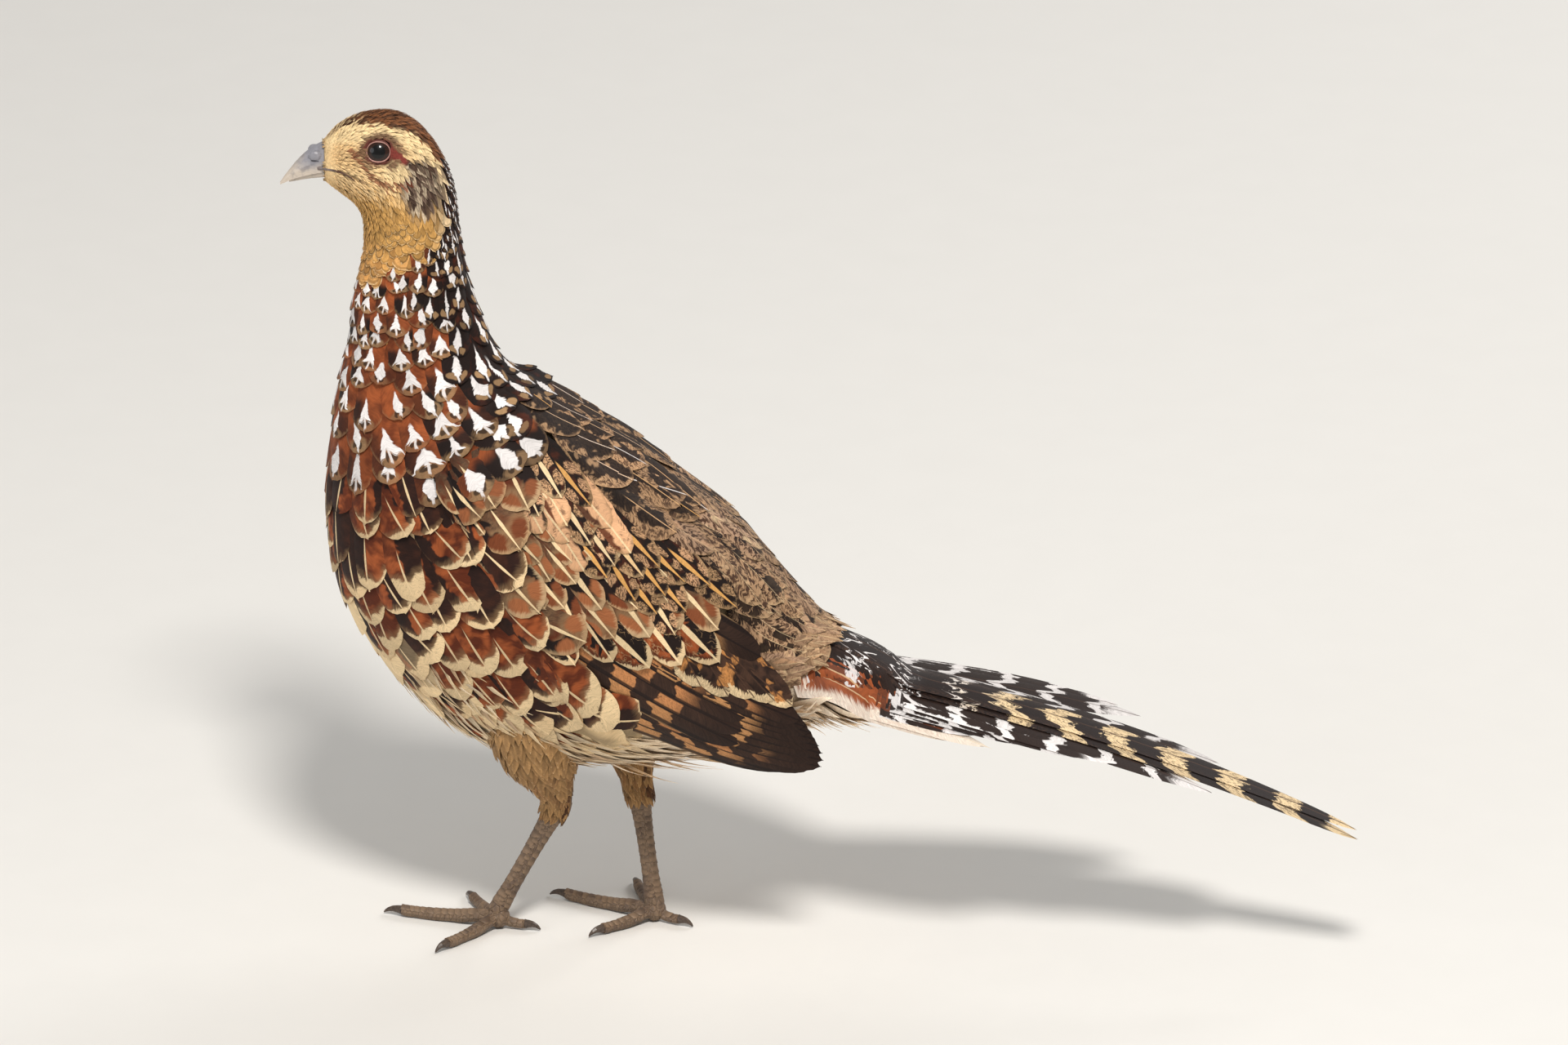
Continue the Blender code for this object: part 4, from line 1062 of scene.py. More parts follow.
def tail_centre_finish(h):
    """Central tail feather: dark, with ragged marbled cream bars and a cream tip."""
    v = Vane("Central tail feather", sheen=0.05, roughness=0.52, warp=0.5)
    f = v.f
    rag = v.blots(0.28, 2.2, 50, 3, 0.7)
    shift = v.x.step(-0.02, 0.02) * 0.14
    saw = ((v.down - v.far * 0.3) / 25.5 + v.mark + shift + (rag - 0.5) * 0.5).math("FRACT")
    bar = saw.step(0.52, 0.57) * saw.step(0.99, 0.94)
    marble = f.noise(f.join(v.barb * 0.8, v.x * v.half * 0.8, v.pick * 20), 1, 3, 0.7)
    pale = f.mix(marble.step(0.50, 0.58) * 0.7, h.cream, h.umber)
    pale = f.mix(v.y.step(0.42, 0.25), pale, h.white)
    bar = bar.most((v.y + v.jag(0.10)).step(0.25, 0.19))
    pale = f.mix(v.ax.step(0.1, 0.0) * 0.4, pale, h.umber)
    dark = f.mix(v.ax.step(0.4, 0.95) * marble.step(0.45, 0.6) * 0.7, h.soot, h.umber)
    tone = f.mix(bar * (rag - 0.28 * v.y.step(0.5, 0.25)).step(0.28, 0.34), dark, pale)
    tone = f.mix(v.y.step(0.95, 0.985), tone, h.cream)
    return v.close(v.shaft(tone, h.umber, 0.4, 0.0, 0.7), fade=False)


def tail_side_finish(h):
    """Side tail feather: black, with broken white blotches and a white tip."""
    v = Vane("Side tail feather", sheen=0.05, roughness=0.52, warp=0.5)
    f = v.f
    rag = v.blots(0.3, 2.0, 50, 3, 0.7)
    saw = ((v.down - v.far * 0.5) / 23 + v.mark + (rag - 0.5) * 0.45).math("FRACT")
    reach = (v.x * v.fringe + 0.75 + (rag - 0.5) * 0.8).step(0.1, 0.3)
    bar = saw.step(0.68, 0.73) * saw.step(0.98, 0.93) * reach
    bar = bar * (rag + 0.35 * v.y.step(0.15, 0.5)).step(0.50, 0.56)
    tone = f.mix(v.streak * 0.3, h.soot, h.umber)
    web = (v.x * v.fringe + v.jag(0.15)).step(0.56, 0.46)
    tone = f.mix(bar, tone, h.white)
    web = web * v.black * (1 - 0.75 * bar) * v.y.step(0.99, 0.9)
    tone = f.mix(web, tone, f.mix(v.wave * 0.8, h.rufous, h.chestnut))
    lace = (v.x * v.fringe + (rag - 0.5) * 0.5).step(0.84, 0.94) * v.y.step(0.3, 0.5)
    tone = f.mix(lace, tone, h.white)
    tone = f.mix((v.y + v.jag(0.04)).step(0.90, 0.94), tone, h.white)
    return v.close(v.shaft(tone, h.umber, 0.35, 0.0, 0.6), fade=False)


def tail_outer_finish(h):
    """Outer tail feather: rufous with a white margin and tip, and a few black blotches."""
    v = Vane("Outer tail feather", sheen=0.05, roughness=0.52, warp=0.5)
    f = v.f
    rag = v.blots(0.22, 1.6, 50, 3, 0.7)
    tone = f.mix(v.wave.step(0.3, 0.7) * 0.6, h.rufous, h.chestnut)
    tone = f.mix(rag.step(0.60, 0.64) * v.black, tone, h.soot)
    freckle = v.marble(0.8, 0.5)
    margin = (v.x * v.fringe + v.jag(0.7) + v.y * 0.8).step(0.60, 0.95)
    pale = f.mix(0.4, h.white, h.cream)
    tone = f.mix(margin, tone, f.mix(freckle * 0.2, pale, h.rufous))
    tone = f.mix((v.y + (rag - 0.5) * 0.3).step(0.76, 0.90), tone, pale)
    return v.close(v.shaft(tone, h.cream, 0.22, 0.0, 0.6), fade=False)


FINISHES = {
    "arrow": arrow_finish, "lance": lance_finish, "oval": oval_finish, "covert": covert_finish,
    "pale": pale_finish, "scapular": scapular_finish, "back": back_finish, "rump": rump_finish,
    "plain": plain_finish, "primary": primary_finish, "tertial": tertial_finish,
    "greater": greater_finish, "tail_centre": tail_centre_finish, "tail_side": tail_side_finish,
    "tail_outer": tail_outer_finish,
}
KINDS = list(FINISHES)


def feather_finish(kind):
    """The finish of one kind of feather, made once."""
    made = [m for m in bpy.data.materials if m.get("kind") == kind]
    if not made:
        made = [FINISHES[kind](settings())]
        made[0]["kind"] = kind
    return made[0]


# Spacing in millimetres of the rows of body feathers, by section.
ROW_SECTION = (5.4, 6, 6.5, 7.5, 8.5, 9.5, 10.5, 12, 14, 15, 16, 17, 18, 20)
ROW_GAP = (6.0, 7.0, 8.0, 9.6, 11, 12.6, 14, 15, 15, 14, 13, 11.5, 10, 9)
FIRST_ROW = 5.5
LAST_ROW = 17.4

FACE = srgb(236, 202, 150)
BROW = srgb(238, 210, 160)
CROWN = srgb(124, 78, 48)
CROWN_LINE = srgb(58, 38, 28)
EAR = srgb(112, 92, 78)
LORE = srgb(222, 182, 126)
THROAT = srgb(194, 148, 84)
FORENECK = srgb(204, 148, 84)
RED_LINE = srgb(126, 62, 40)
EAR_PALE = srgb(206, 186, 158)
EAR_DARK = srgb(70, 50, 40)
EAR_EDGE = srgb(74, 52, 40)
LIP = srgb(120, 84, 60)
EYE_RING = srgb(92, 52, 38)
NAPE_PALE = srgb(228, 206, 170)
NAPE_DARK = srgb(84, 60, 44)
# Dark lines of the face: behind the ear, and from the bill round the cheek.
EAR_REAR = ((-192, 14, 392), (-182, 13, 387), (-177.5, 10, 379), (-180, 14, 370))
CHEEK = ((-221, 13, 395), (-215, 15.4, 388.5), (-211, 16.4, 383.4), (-203, 17, 380.8),
         (-194, 16.6, 382))
# The line of the mouth back from the bill, on one side of the head before it turns.
GAPE = ((-234, 5.4, 384.2), (-231.5, 7.0, 384.6), (-227, 10.6, 385.2), (-223.3, 13.1, 385.0),
        (-220, 14.3, 383.6), (-217.3, 15.0, 381.8))
THIGH = srgb(166, 128, 84)
THIGH_BROWN = srgb(134, 92, 58)
THIGH_DARK = srgb(84, 54, 34)
VENT = srgb(206, 178, 136)
LONG_PLUMES = 90
BUFF_NECK = srgb(212, 158, 94)
PLUME = srgb(232, 216, 192)
PLUME_WARM = srgb(252, 232, 206)
PLUME_BROWN = srgb(150, 112, 78)
LONG_PLUME = srgb(252, 230, 202)
LONG_PLUME_BROWN = srgb(196, 154, 116)


def hues(count, tone):
    """One colour for each of many feathers."""
    return np.tile(np.asarray(tone, dtype=float), (count, 1))


def blend(first, second, share):
    """first where share is nought, second where it is one."""
    share = np.clip(share, 0, 1)[:, None]
    return first * (1 - share) + np.asarray(second) * share


def blob(points, centre, radii, soft=0.35):
    """One inside an ellipsoid, nought outside, with a soft edge."""
    reach = np.sqrt(np.sum(((points - centre) / radii) ** 2, axis=-1))
    return 1 - ease((reach - 1 + soft / 2) / soft)


def ribbon(points, path, width, soft=0.5):
    """One near a path, nought away from it."""
    path = np.asarray(path, dtype=float)
    best = np.full(len(points), 1e9)
    for a, b in zip(path[:-1], path[1:]):
        line = b - a
        share = np.clip(np.sum((points - a) * line, axis=-1) / np.sum(line * line), 0, 1)
        best = np.minimum(best, np.linalg.norm(points - a - share[:, None] * line, axis=-1))
    return 1 - ease((best / width - 1 + soft / 2) / soft)


def straight(points):
    """The head's places before it turns, folded onto one side."""
    points = turned(points, -HEAD_TURN)
    points[..., 1] = np.abs(points[..., 1])
    return points


def head_tint(points, rng):
    """Colours of the head and throat at places on them."""
    p = straight(points)
    x, y, z = p.T
    wobble = rng.normal(0, 1, len(p))
    fleck = rng.normal(0, 1, len(p))
    ear = blob(p + rng.normal(0, 0.8, p.shape), (-186.5, 15, 380.5), (11, 10, 12.5), 0.5)
    crown_side = np.interp(x, (-232, -223, -214, -205, -193.5, -184, -178),
                           (1.5, 3.3, 6.8, 8.4, 8.1, 6.4, 6.5))
    crown_foot = np.interp(x, (-225, -205, -184, -172), (396, 398, 384, 366))
    crown = ease((crown_side - y + wobble * 0.6 + 0.6) / 1.4) * ease((z - crown_foot) / 4)
    brow_foot = np.interp(x, (-229, -216, -199, -187, -176), (395, 398, 398.6, 391.5, 381))
    ring = np.maximum(blob(p, EYE_ON_SKIN * (1, -1, 1) + (-0.8, 0, 0.2), (10.8, 9, 8.8), 0.3),
                      ribbon(p, ((-217, 13, 394.5), (-213, 14.5, 394)), 2.2))
    nape = ease((x + 181) / 6) * ease((392 - z) / 8)
    tint = hues(len(p), FACE)
    for tone, share in (
        (THROAT, ease((383 - z + wobble * 2) / 16)),
        (FORENECK, ease((358 - z + wobble * 3) / 22)),
        (BROW, ease((14.5 - y) / 3) * ease((z - brow_foot) / 3)),
        (LORE, 0.5 * blob(p, (-222, 10, 392), (7, 8, 6))),
        (CROWN, crown),
        (CROWN_LINE, 0.75 * crown * ease((fleck + 0.1) / 0.6)),
        (BROW, 0.8 * crown * ease((-x - 212) / 12) * (fleck < -0.2)),
        (EAR, ear),
        (EAR_PALE, 0.85 * ear * ease((wobble - 0.1) / 0.8)),
        (EAR_DARK, 0.8 * ear * ease((-0.4 - wobble) / 0.7)),
        (EAR_EDGE, 0.55 * ribbon(p, EAR_REAR, 2.2)),
        (BROW, 0.9 * blob(p, (-200.2, 16.4, 387.6), (6.2, 6, 4.2))),
        (RED_LINE, 0.8 * ribbon(p, CHEEK, 1.3)),
        (LIP, 0.6 * ribbon(p, ((-230, 6.8, 384), (-223, 12.6, 385), (-216, 14.8, 382)), 1.2)),
        (EYE_RING, 0.85 * ring * (z > 388.8)),
        (NAPE_PALE, 0.85 * nape),
        (NAPE_DARK, 0.9 * nape * (fleck > 0.45)),
    ):
        tint = blend(tint, tone, share)
    return tint * (1 + 0.07 * rng.normal(0, 1, len(p)))[:, None]


def near_eye(points):
    """One over the bare skin round and behind the eye."""
    p = straight(points)
    eye = EYE_ON_SKIN * (1, -1, 1)
    patch = ribbon(p, ((-202, 16.2, 396.8), (-198, 15.8, 394.6), (-194.3, 15, 391.2)), 2.7, 0.25)
    return np.maximum(blob(p, eye, (7.2, 8, 6.8), 0.1), patch)


def body_rows(chart):
    """Staggered rows of roots down the bird, with each root's room."""
    rng = np.random.default_rng(11)
    t, row, sets = FIRST_ROW, 0, []
    around = np.linspace(-math.pi, math.pi, 361)
    while t < LAST_ROW:
        gap = float(np.interp(t, ROW_SECTION, ROW_GAP))
        points, _, slope, _ = chart.read(np.full(around.shape, t), around)
        pace = np.linalg.norm(slope, axis=1)
        run = np.concatenate(((0,), np.cumsum(np.linalg.norm(np.diff(points, axis=0), axis=1))))
        count = int(round(run[-1] / (gap * 1.08)))
        at = ((np.arange(count) + 0.5 * (row % 2)) / count * run[-1]
              + rng.normal(0, gap * (0.07 if t < 10 else 0.12), count)) % run[-1]
        phi = np.interp(at, run, around)
        steep = np.interp(at, run, pace)
        side = float(np.interp(run[-1] * 0.25, run, pace))
        own = gap * (0.35 + 0.65 * steep / side)
        places = t + rng.normal(0, gap * (0.11 if t < 10 else 0.17), count) / steep
        sets.append(np.stack((places, phi, own, steep, np.full(count, run[-1] / count)), axis=-1))
        t += gap / side
        row += 1
    return np.concatenate(sets)


def body_kinds(t, dorsal, rng):
    """Which feather grows where: kind, mark, fringe and blackness."""
    count = len(t)
    gold = (t + rng.normal(0, 0.07, count)
            < np.interp(dorsal, (50, 90, 140, 180), (5.6, 6.1, 6.5, 6.6)))
    t = t + rng.normal(0, 0.12, count)
    dorsal = dorsal + rng.normal(0, 5, count)
    kind = np.full(count, KINDS.index("arrow"))
    mark = np.interp(t, (6, 8, 11), (0.26, 0.31, 0.34)) + rng.normal(0, 0.07, count)
    fringe = 0.75 + rng.normal(0, 0.2, count)
    black = np.interp(dorsal, (60, 85, 120), (0.9, 0.4, 0.25)) + rng.normal(0, 0.3, count)
    black = np.clip(black, 0, 1)
    nape = (dorsal < np.interp(t, (6, 7.5, 8.6, 9.4, 10.2), (66, 64, 60, 54, 42))
            + rng.normal(0, 6, count))
    kind[nape] = KINDS.index("lance")
    mark[nape] = (np.interp(t, (6, 8, 10), (0.22, 0.28, 0.31)) + rng.normal(0, 0.05, count))[nape]
    fringe[nape] = np.clip(0.75 + rng.normal(0, 0.2, count), 0, 1)[nape]
    black[nape] = 1
    mantle = (t > np.interp(dorsal, (0, 20, 45, 70), (9.9, 10.3, 11.0, 11.2))) & (dorsal < 95)
    kind[mantle] = KINDS.index("back")
    mark[mantle] = (np.interp(t, (10, 12, 14), (0.95, 0.88, 0.80))
                    + rng.normal(0, 0.06, count))[mantle]
    shoulder = mantle & (dorsal > 32)
    kind[shoulder & (rng.random(count) < 0.6)] = KINDS.index("scapular")
    fringe[shoulder] = 0.9
    upper = shoulder & (dorsal > 56)
    kind[upper] = KINDS.index("covert")
    mark[upper] = 0.8 + rng.normal(0, 0.15, upper.sum())
    black[upper] = np.clip(0.35 + rng.normal(0, 0.3, upper.sum()), 0, 1)
    rump = (t > 13.6) & (dorsal < np.interp(t, (14, 15.5, 17), (48, 62, 100)))
    kind[rump] = KINDS.index("rump")
    black[rump] = (rng.random(count) * np.interp(t, (13.6, 16.4, 18.0), (1.5, 1.4, 0.35)))[rump]
    mark[rump] = np.interp(t, (13.6, 16.0, 18), (1.0, 0.95, 0.62))[rump]
    belly = (t > np.interp(dorsal, (90, 125, 180), (11.0, 10.6, 10.3))) & (dorsal >= 88) & ~rump
    kind[belly] = KINDS.index("oval")
    mark[belly] = (np.interp(t, (10.5, 11.6, 13, 15), (1.06, 1.0, 0.94, 0.88))
                   + rng.normal(0, 0.06, count))[belly]
    pale = ease((dorsal - 118) / 45) * ease((t - 11.6) / 1.6)
    black[belly] = np.clip(pale * 0.75 + rng.normal(0, 0.15, count), 0, 1)[belly]
    vent = (t > 15.8) & (dorsal >= 105)
    kind[vent | gold] = KINDS.index("plain")
    mark[gold], fringe[gold], black[gold] = 0.4, 0.65, 0.65
    return kind, np.stack((mark, np.clip(fringe, 0, 1), black), axis=-1)


def under_wing(points):
    """Whether the folded wing hides these places of the side view."""
    u, v = on_wing(points)
    arm = (v > wing_edge(u) + 6) & (v < 43) & (u > 10) & (u < 150)
    blade = (u >= 70) & (u < 175) & (v > -8) & (v < 34)
    return arm | blade


def lay_body(coats, chart):
    """The rows of the neck, breast, belly, mantle, back and rump."""
    rng = np.random.default_rng(23)
    rows = body_rows(chart)
    t, phi, gap, steep, pitch = rows.T
    dorsal = np.degrees(np.abs(phi))
    stretch = 2.3 + 1.1 * ease((t - 10.5) / 2) * ease((80 - dorsal) / 40) * (t < 15.5)
    length = gap * stretch * (1 + rng.normal(0, 0.10, len(t)))
    width = pitch * 1.7 * (1 + rng.normal(0, 0.07, len(t))) * (1.55 - 0.24 * stretch)
    tip = t + 0.8 * length / steep
    kind, mark = body_kinds(tip, dorsal, rng)
    tint = np.where((t < 8)[:, None], BUFF_NECK, VENT)
    tint = tint * (1 + 0.06 * rng.normal(0, 1, len(t)))[:, None]
    points = chart.read(t, phi)[0]
    hidden = (np.abs(points[:, 1]) > 12) & under_wing(points) & under_wing(chart.read(tip, phi)[0])
    patch = body_patch(t, phi)
    seeds = rng.random((len(t), 3))
    deep = np.interp(t, (5.5, 7, 9, 12), (1.2, 1.6, 1.9, 2.1))
    groups = {
        "neck": (t < 8.6), "breast": (t >= 8.6) & (dorsal >= 88),
        "back": (t >= 8.6) & (dorsal < 88),
    }
    lift = settings().loft
    for name, chosen in groups.items():
        chosen = chosen & ~hidden
        coats[name].grow(
            chart, t[chosen], phi[chosen], rng.normal(0, 0.16, chosen.sum()), length[chosen],
            width[chosen], (-deep[chosen], lift + rng.normal(0, 0.12, chosen.sum())), kind[chosen],
            patch[chosen], mark[chosen], tint[chosen], seeds[chosen], size=0.012, rows=11, cols=11,
            camber=np.clip(width[chosen] * 0.07, 0.3, 1.3), swell=wing_swell, ragged_tip=0.022)


def lay_head(coat, chart):
    """Short feathers over the head and throat, shortest round the bill and eyes."""
    rng = np.random.default_rng(5)

    def spacing(points, t, phi):
        return np.interp(t, (-0.3, 1.5, 3, 4.3, 5.0, 5.8), (1.0, 1.15, 1.4, 1.9, 3.0, 4.0))

    def keep(points, t, phi):
        p = straight(points)
        edge = np.interp(p[:, 2], (376, 379, 381, 382.5, 384, 387, 389, 394, 396.5),
                         (-234, -233, -231.4, -229.6, -233, -233, -230.6, -230.6, -234))
        return (near_eye(points) < 0.4) & (p[:, 0] > edge) & (ribbon(p, GAPE, 0.9) < 0.5)
    t, phi, points, gap = scatter(chart, (-0.45, -math.pi), (5.75, math.pi), spacing, 3, keep)
    count = len(t)
    large = (t > 4.35) & (blob(straight(points), (-186, 15, 378), (12, 12, 16)) < 0.1)
    length = gap * (3.2 + 0.3 * rng.random(count)) * np.where(large, 0.72, 1)
    width = gap * np.where(large, 1.75, 1.3)
    tint = head_tint(points, rng)
    throat = ease((378 - points[:, 2]) / 12)
    ear = blob(straight(points), (-186, 15, 381), (9.5, 9, 11.5))
    mark = np.stack((0.3 + 0.5 * ear, 0.2 + 0.2 * throat + 0.35 * large * rng.random(count),
                     0.2 + 0.25 * throat + 0.5 * large * rng.random(count)), axis=-1)
    tint = tint * (1 + large * 0.17 * rng.normal(0, 1, count))[:, None]
    kind = np.full(count, KINDS.index("plain"))
    dorsal = np.degrees(np.abs(phi)) + rng.normal(0, 6, count)
    nape = (t > 4.3) & (dorsal < np.interp(t, (4.3, 5, 5.8), (18, 34, 55)))
    kind[nape] = KINDS.index("lance")
    mark[nape] = (0.2, 0.2, 1.0)
    deep = np.interp(t, (0, 2, 4, 5.8), (0.55, 0.8, 1.0, 1.2))
    heading, rise = rng.normal(0, 0.18, count), 0.18 + rng.normal(0, 0.08, count)
    patch = np.stack((phi / 7 + 0.5, t / 7 + 0.08), axis=-1)
    seeds = rng.random((count, 3))
    for group, cols, rows, shape in ((~large, 3, 5, "point"), (large, 7, 8, "round")):
        coat.grow(chart, t[group], phi[group], heading[group], length[group], width[group],
                  (-deep[group], rise[group] + 0.2 * (shape == "round")), kind[group], patch[group],
                  mark[group], tint[group], seeds[group], cols=cols, rows=rows, camber=0.22,
                  body=0.1, shape=shape, ragged_tip=0.035)


def lay_thighs(coat):
    """Short feathers over the thighs, darker and browner towards the hock."""
    for side, sign in SIDES.items():
        rng = np.random.default_rng(31 + sign)
        chart = tube_chart(leg_rows(side)[0], (1, 0, 0), 0.8)
        s, phi, points, gap = scatter(
            chart, (0.15, -math.pi), (4.75, math.pi),
            lambda p, s, phi: np.interp(s, (0, 2, 3, 4, 5), (5.0, 4.2, 3.2, 2.3, 2.0)), 41 + sign)
        count = len(s)
        x, z = points[:, 0], points[:, 2]
        tint = hues(count, THIGH) * (1 + 0.08 * rng.normal(0, 1, count))[:, None]
        patchy = ease((np.sin(z * 0.35 + x * 0.21) + rng.normal(0, 0.4, count)) / 1.2)
        tint = blend(tint, THIGH_BROWN, patchy * ease((s - 1.4) / 0.8) * 0.5)
        rear = ease((x - LEGS[side]["hock"][0] - 1) / 4)
        tint = blend(tint, THIGH_DARK, rear * ease((s - 2.8) / 0.8) * (rng.random(count) < 0.6))
        patch = np.stack((phi / 14 + (0.25 if sign < 0 else 0.75), s / 4.2), axis=-1)
        coat.grow(chart, s, phi, rng.normal(0, 0.2, count), gap * 3.2, gap * 1.5,
                  (np.interp(s, (2.8, 3.8), (-1.6, -0.1)), 0.35 + rng.normal(0, 0.2, count)),
                  KINDS.index("plain"), patch, (0.5, 0.4, 0.2), tint, rng.random((count, 3)),
                  cols=3, rows=6, camber=0.5, shape="point")


def lay_fluff(coat, chart):
    """Loose soft plumes under the tail, on the vent and along the flanks' lower edges."""
    rng = np.random.default_rng(61)

    def keep(points, t, phi):
        vent = (t > 15.6) & (np.abs(phi) > np.interp(t, (16, 18, 19.5), (1.75, 1.9, 2.3)))
        edge = (t > 13.4) & (t <= 15.6) & (np.abs(phi) > 2.05)
        return vent | edge
    t, phi = scatter(chart, (13.4, -math.pi), (20.4, math.pi),
                     lambda p, t, phi: np.interp(t, (15, 17), (5.2, 3.8)), 7, keep)[:2]
    count = len(t)
    length = np.interp(t, (13.4, 15.6, 18, 20.4), (16, 20, 27, 24)) * (1 + 0.15 * rng.random(count))
    under = ease((t - 15.8) / 1.2)
    tint = blend(hues(count, VENT), PLUME, rng.random(count) * 0.6)
    tint = blend(tint, PLUME_WARM, under)
    tint = blend(tint, PLUME_BROWN, (rng.random(count) < 0.2 - 0.15 * under) * 0.6)
    loose = np.interp(t, (14, 16.5, 17.5, 18.8, 20.4), (1.0, 3.0, 9, 10, 5))
    coat.grow(chart, t, phi, rng.normal(0, 0.22, count), length,
              np.interp(t, (13.4, 16, 19), (2.6, 5.5, 8)),
              (-1.5, loose + rng.normal(0, 0.8, count)), KINDS.index("plain"), body_patch(t, phi),
              (0.3, 0.3, 0.0), tint, rng.random((count, 3)),
              cols=3, rows=7, camber=0.5, shape="wisp")
    count = LONG_PLUMES
    t = rng.uniform(16.4, 18.6, count)
    phi = math.pi + rng.normal(0, 0.5, count)
    phi = np.where(phi > math.pi, phi - 2 * math.pi, phi)
    length = rng.uniform(24, 38, count)
    coat.grow(chart, t, phi, rng.normal(0, 0.25, count), length, 4.5,
              (-1.5, rng.uniform(6, 15, count)), KINDS.index("plain"), body_patch(t, phi),
              (0.3, 0.2, 0.0),
              blend(hues(count, LONG_PLUME), LONG_PLUME_BROWN, (rng.random(count) < 0.2) * 0.6),
              rng.random((count, 3)), cols=3, rows=8, camber=0.4, shape="wisp")


# Covert rows back from the greater coverts: step, length, width and gap across.
COVERT_ROWS = (
    (0, 50, 19, 15.5), (24, 46, 18.5, 15), (46, 40, 17, 14), (66, 34, 15.5, 12.5),
    (84, 28, 14, 11), (100, 24, 12.5, 9.6), (114, 21, 11, 8.6), (127, 18, 10, 7.8),
    (138, 16, 9, 7),
)
# Flight feathers of the folded wing: root, tip, width, bow and lift.
PRIMARY_TIPS = (
    (211, -6.5), (217.5, -2.5), (220.5, 1), (219.5, 4), (217, 6.5), (213.5, 8.5), (210, 10),
    (206, 11.5), (202, 12.5), (198, 13.5),
)
PRIMARIES = tuple(((86 + 1.2 * k, -38 + 4.6 * k), tip, 14, -7 + 0.6 * k, 0.6 + 0.2 * k)
                  for k, tip in enumerate(PRIMARY_TIPS))
SECONDARIES = tuple(((60 + 1.5 * k, -22 + 8 * k), (182 - 3 * k, -11 + 6.2 * k), 17, -2,
                     1.6 + 0.18 * k) for k in range(7))
TERTIALS = (
    ((74, 30), (134, 2), 20), ((86, 31), (149, 0), 21), ((98, 31), (162, 3), 22),
    ((108, 30), (172, 9), 23), ((120, 27), (181, 13), 20), ((132, 23), (190, 16), 16),
)
# Rows of shoulder feathers: height, start, end, length, width and heading.
SCAPULAR_ROWS = (
    (26, 12, 92, 36, 15, -0.30), (33, 6, 96, 40, 15, -0.27), (39, 2, 96, 46, 15, -0.22),
)


def covert_places(rng):
    """Roots, sizes and rows of the wing coverts, from the tips' lines."""
    found = []
    lead = np.array((0.814, 0.581))
    for number, (back, length, width, gap) in enumerate(COVERT_ROWS):
        for k in np.arange(-70, 110, gap):
            tip = np.array((80 - back, -36)) + lead * (k + gap / 2 * (number % 2))
            tip = tip + rng.normal(0, 1.3, 2)
            if not (wing_edge(tip[0]) + 3 < tip[1] < 40 and 4 < tip[0] < 152):
                continue
            angle = math.radians(-17 + 0.12 * (tip[1] + 10)) + rng.normal(0, 0.08)
            root = tip - length * np.array((math.cos(angle), math.sin(angle)))
            found.append((*root, *tip, length, width, angle, number))
    return np.array(found)


def lay_wing(coat, chart, side):
    """A folded wing's flight feathers, tertials, coverts and scapulars, from the inside out."""
    sign = SIDES[side]
    rng = np.random.default_rng(71 + sign)

    def put(roots, angle, length, width, lift, kind, mark, size, **shape):
        roots = np.atleast_2d(roots)
        count = len(roots)
        points, vane = lay(chart, roots[:, 0], roots[:, 1], angle, length, width, lift, **shape)
        if sign > 0:
            points = points * (1, -1, 1)
        patch = np.stack(((roots[:, 0] + 30) / 280, (roots[:, 1] + 62) / 280), axis=-1)
        coat.add(points, vane, kind, patch, rng.random((count, 3)), width, length, mark,
                 flip=(chart.hand > 0) != (sign > 0), size=size)

    def put_long(root, tip, *rest, **shape):
        """One feather from its root to its tip."""
        way = np.array(tip) - root
        put(root, math.atan2(way[1], way[0]), float(np.linalg.norm(way)), *rest, **shape,
            cols=7, body=0.3)

    for root, tip, width, bow, lift in PRIMARIES + SECONDARIES:
        put_long(root, tip, width, (lift, lift + 0.5), KINDS.index("primary"), (-1, 0, 0), 0.03,
                 shape="long", rows=18, camber=0.5, bow=bow, louver=-0.5)
    for number, (root, tip, width) in enumerate(TERTIALS):
        put_long(root, tip, width, (2.3, 3.1 + 0.15 * number), KINDS.index("tertial"),
                 (0.3, 0.9, 0.5), 0.02, rows=12, camber=0.9, louver=-0.3)
    places = covert_places(rng)
    tip_u, tip_v = places[:, 2], places[:, 3]
    row = places[:, 7]
    kind = np.full(len(places), KINDS.index("covert"))
    kind[row == 0] = KINDS.index("greater")
    pale = blob(np.stack((tip_u, tip_v), axis=-1), (44, 28), (24, 10), 0.5)
    kind[(pale > rng.random(len(places))) & (row > 0)] = KINDS.index("pale")
    mark = np.stack((np.interp(row, (0, 2, 6), (1.15, 1.1, 0.45)) + rng.normal(0, 0.2, len(row)),
                     0.75 + 0.25 * rng.random(len(row)),
                     np.clip(np.interp(tip_v - wing_edge(tip_u), (2, 32, 62), (0.25, 0.55, 0.85))
                             + rng.normal(0, 0.35, len(row)), 0, 1)), axis=-1)
    put(places[:, :2], places[:, 6], places[:, 4], places[:, 5],
        (3.0, 4.9 + 0.15 * (row == 0) + rng.normal(0, 0.1, len(row))), kind, mark, 0.014,
        cols=7, rows=9, camber=places[:, 5] * 0.065)
    for v, start, end, length, width, angle in SCAPULAR_ROWS:
        u = np.arange(start, end, 13.0)
        u = u + rng.normal(0, 1.2, len(u))
        roots = np.stack((u, v + rng.normal(0, 1.0, len(u))), axis=-1)
        kinds = np.where(rng.random(len(u)) < (0.5 if v < 35 else 0.15) * (u < 60),
                         KINDS.index("pale"), KINDS.index("scapular"))
        kinds[(u < 12) | (u > 48)] = KINDS.index("scapular")
        put(roots, angle + rng.normal(0, 0.06, len(u)), length, width,
            (3.6, 5.4 + 0.02 * (v - 29) + rng.normal(0, 0.15, len(u))), kinds,
            (0.35, 0.8, 0.5), 0.014, cols=7, rows=9, camber=1.0)


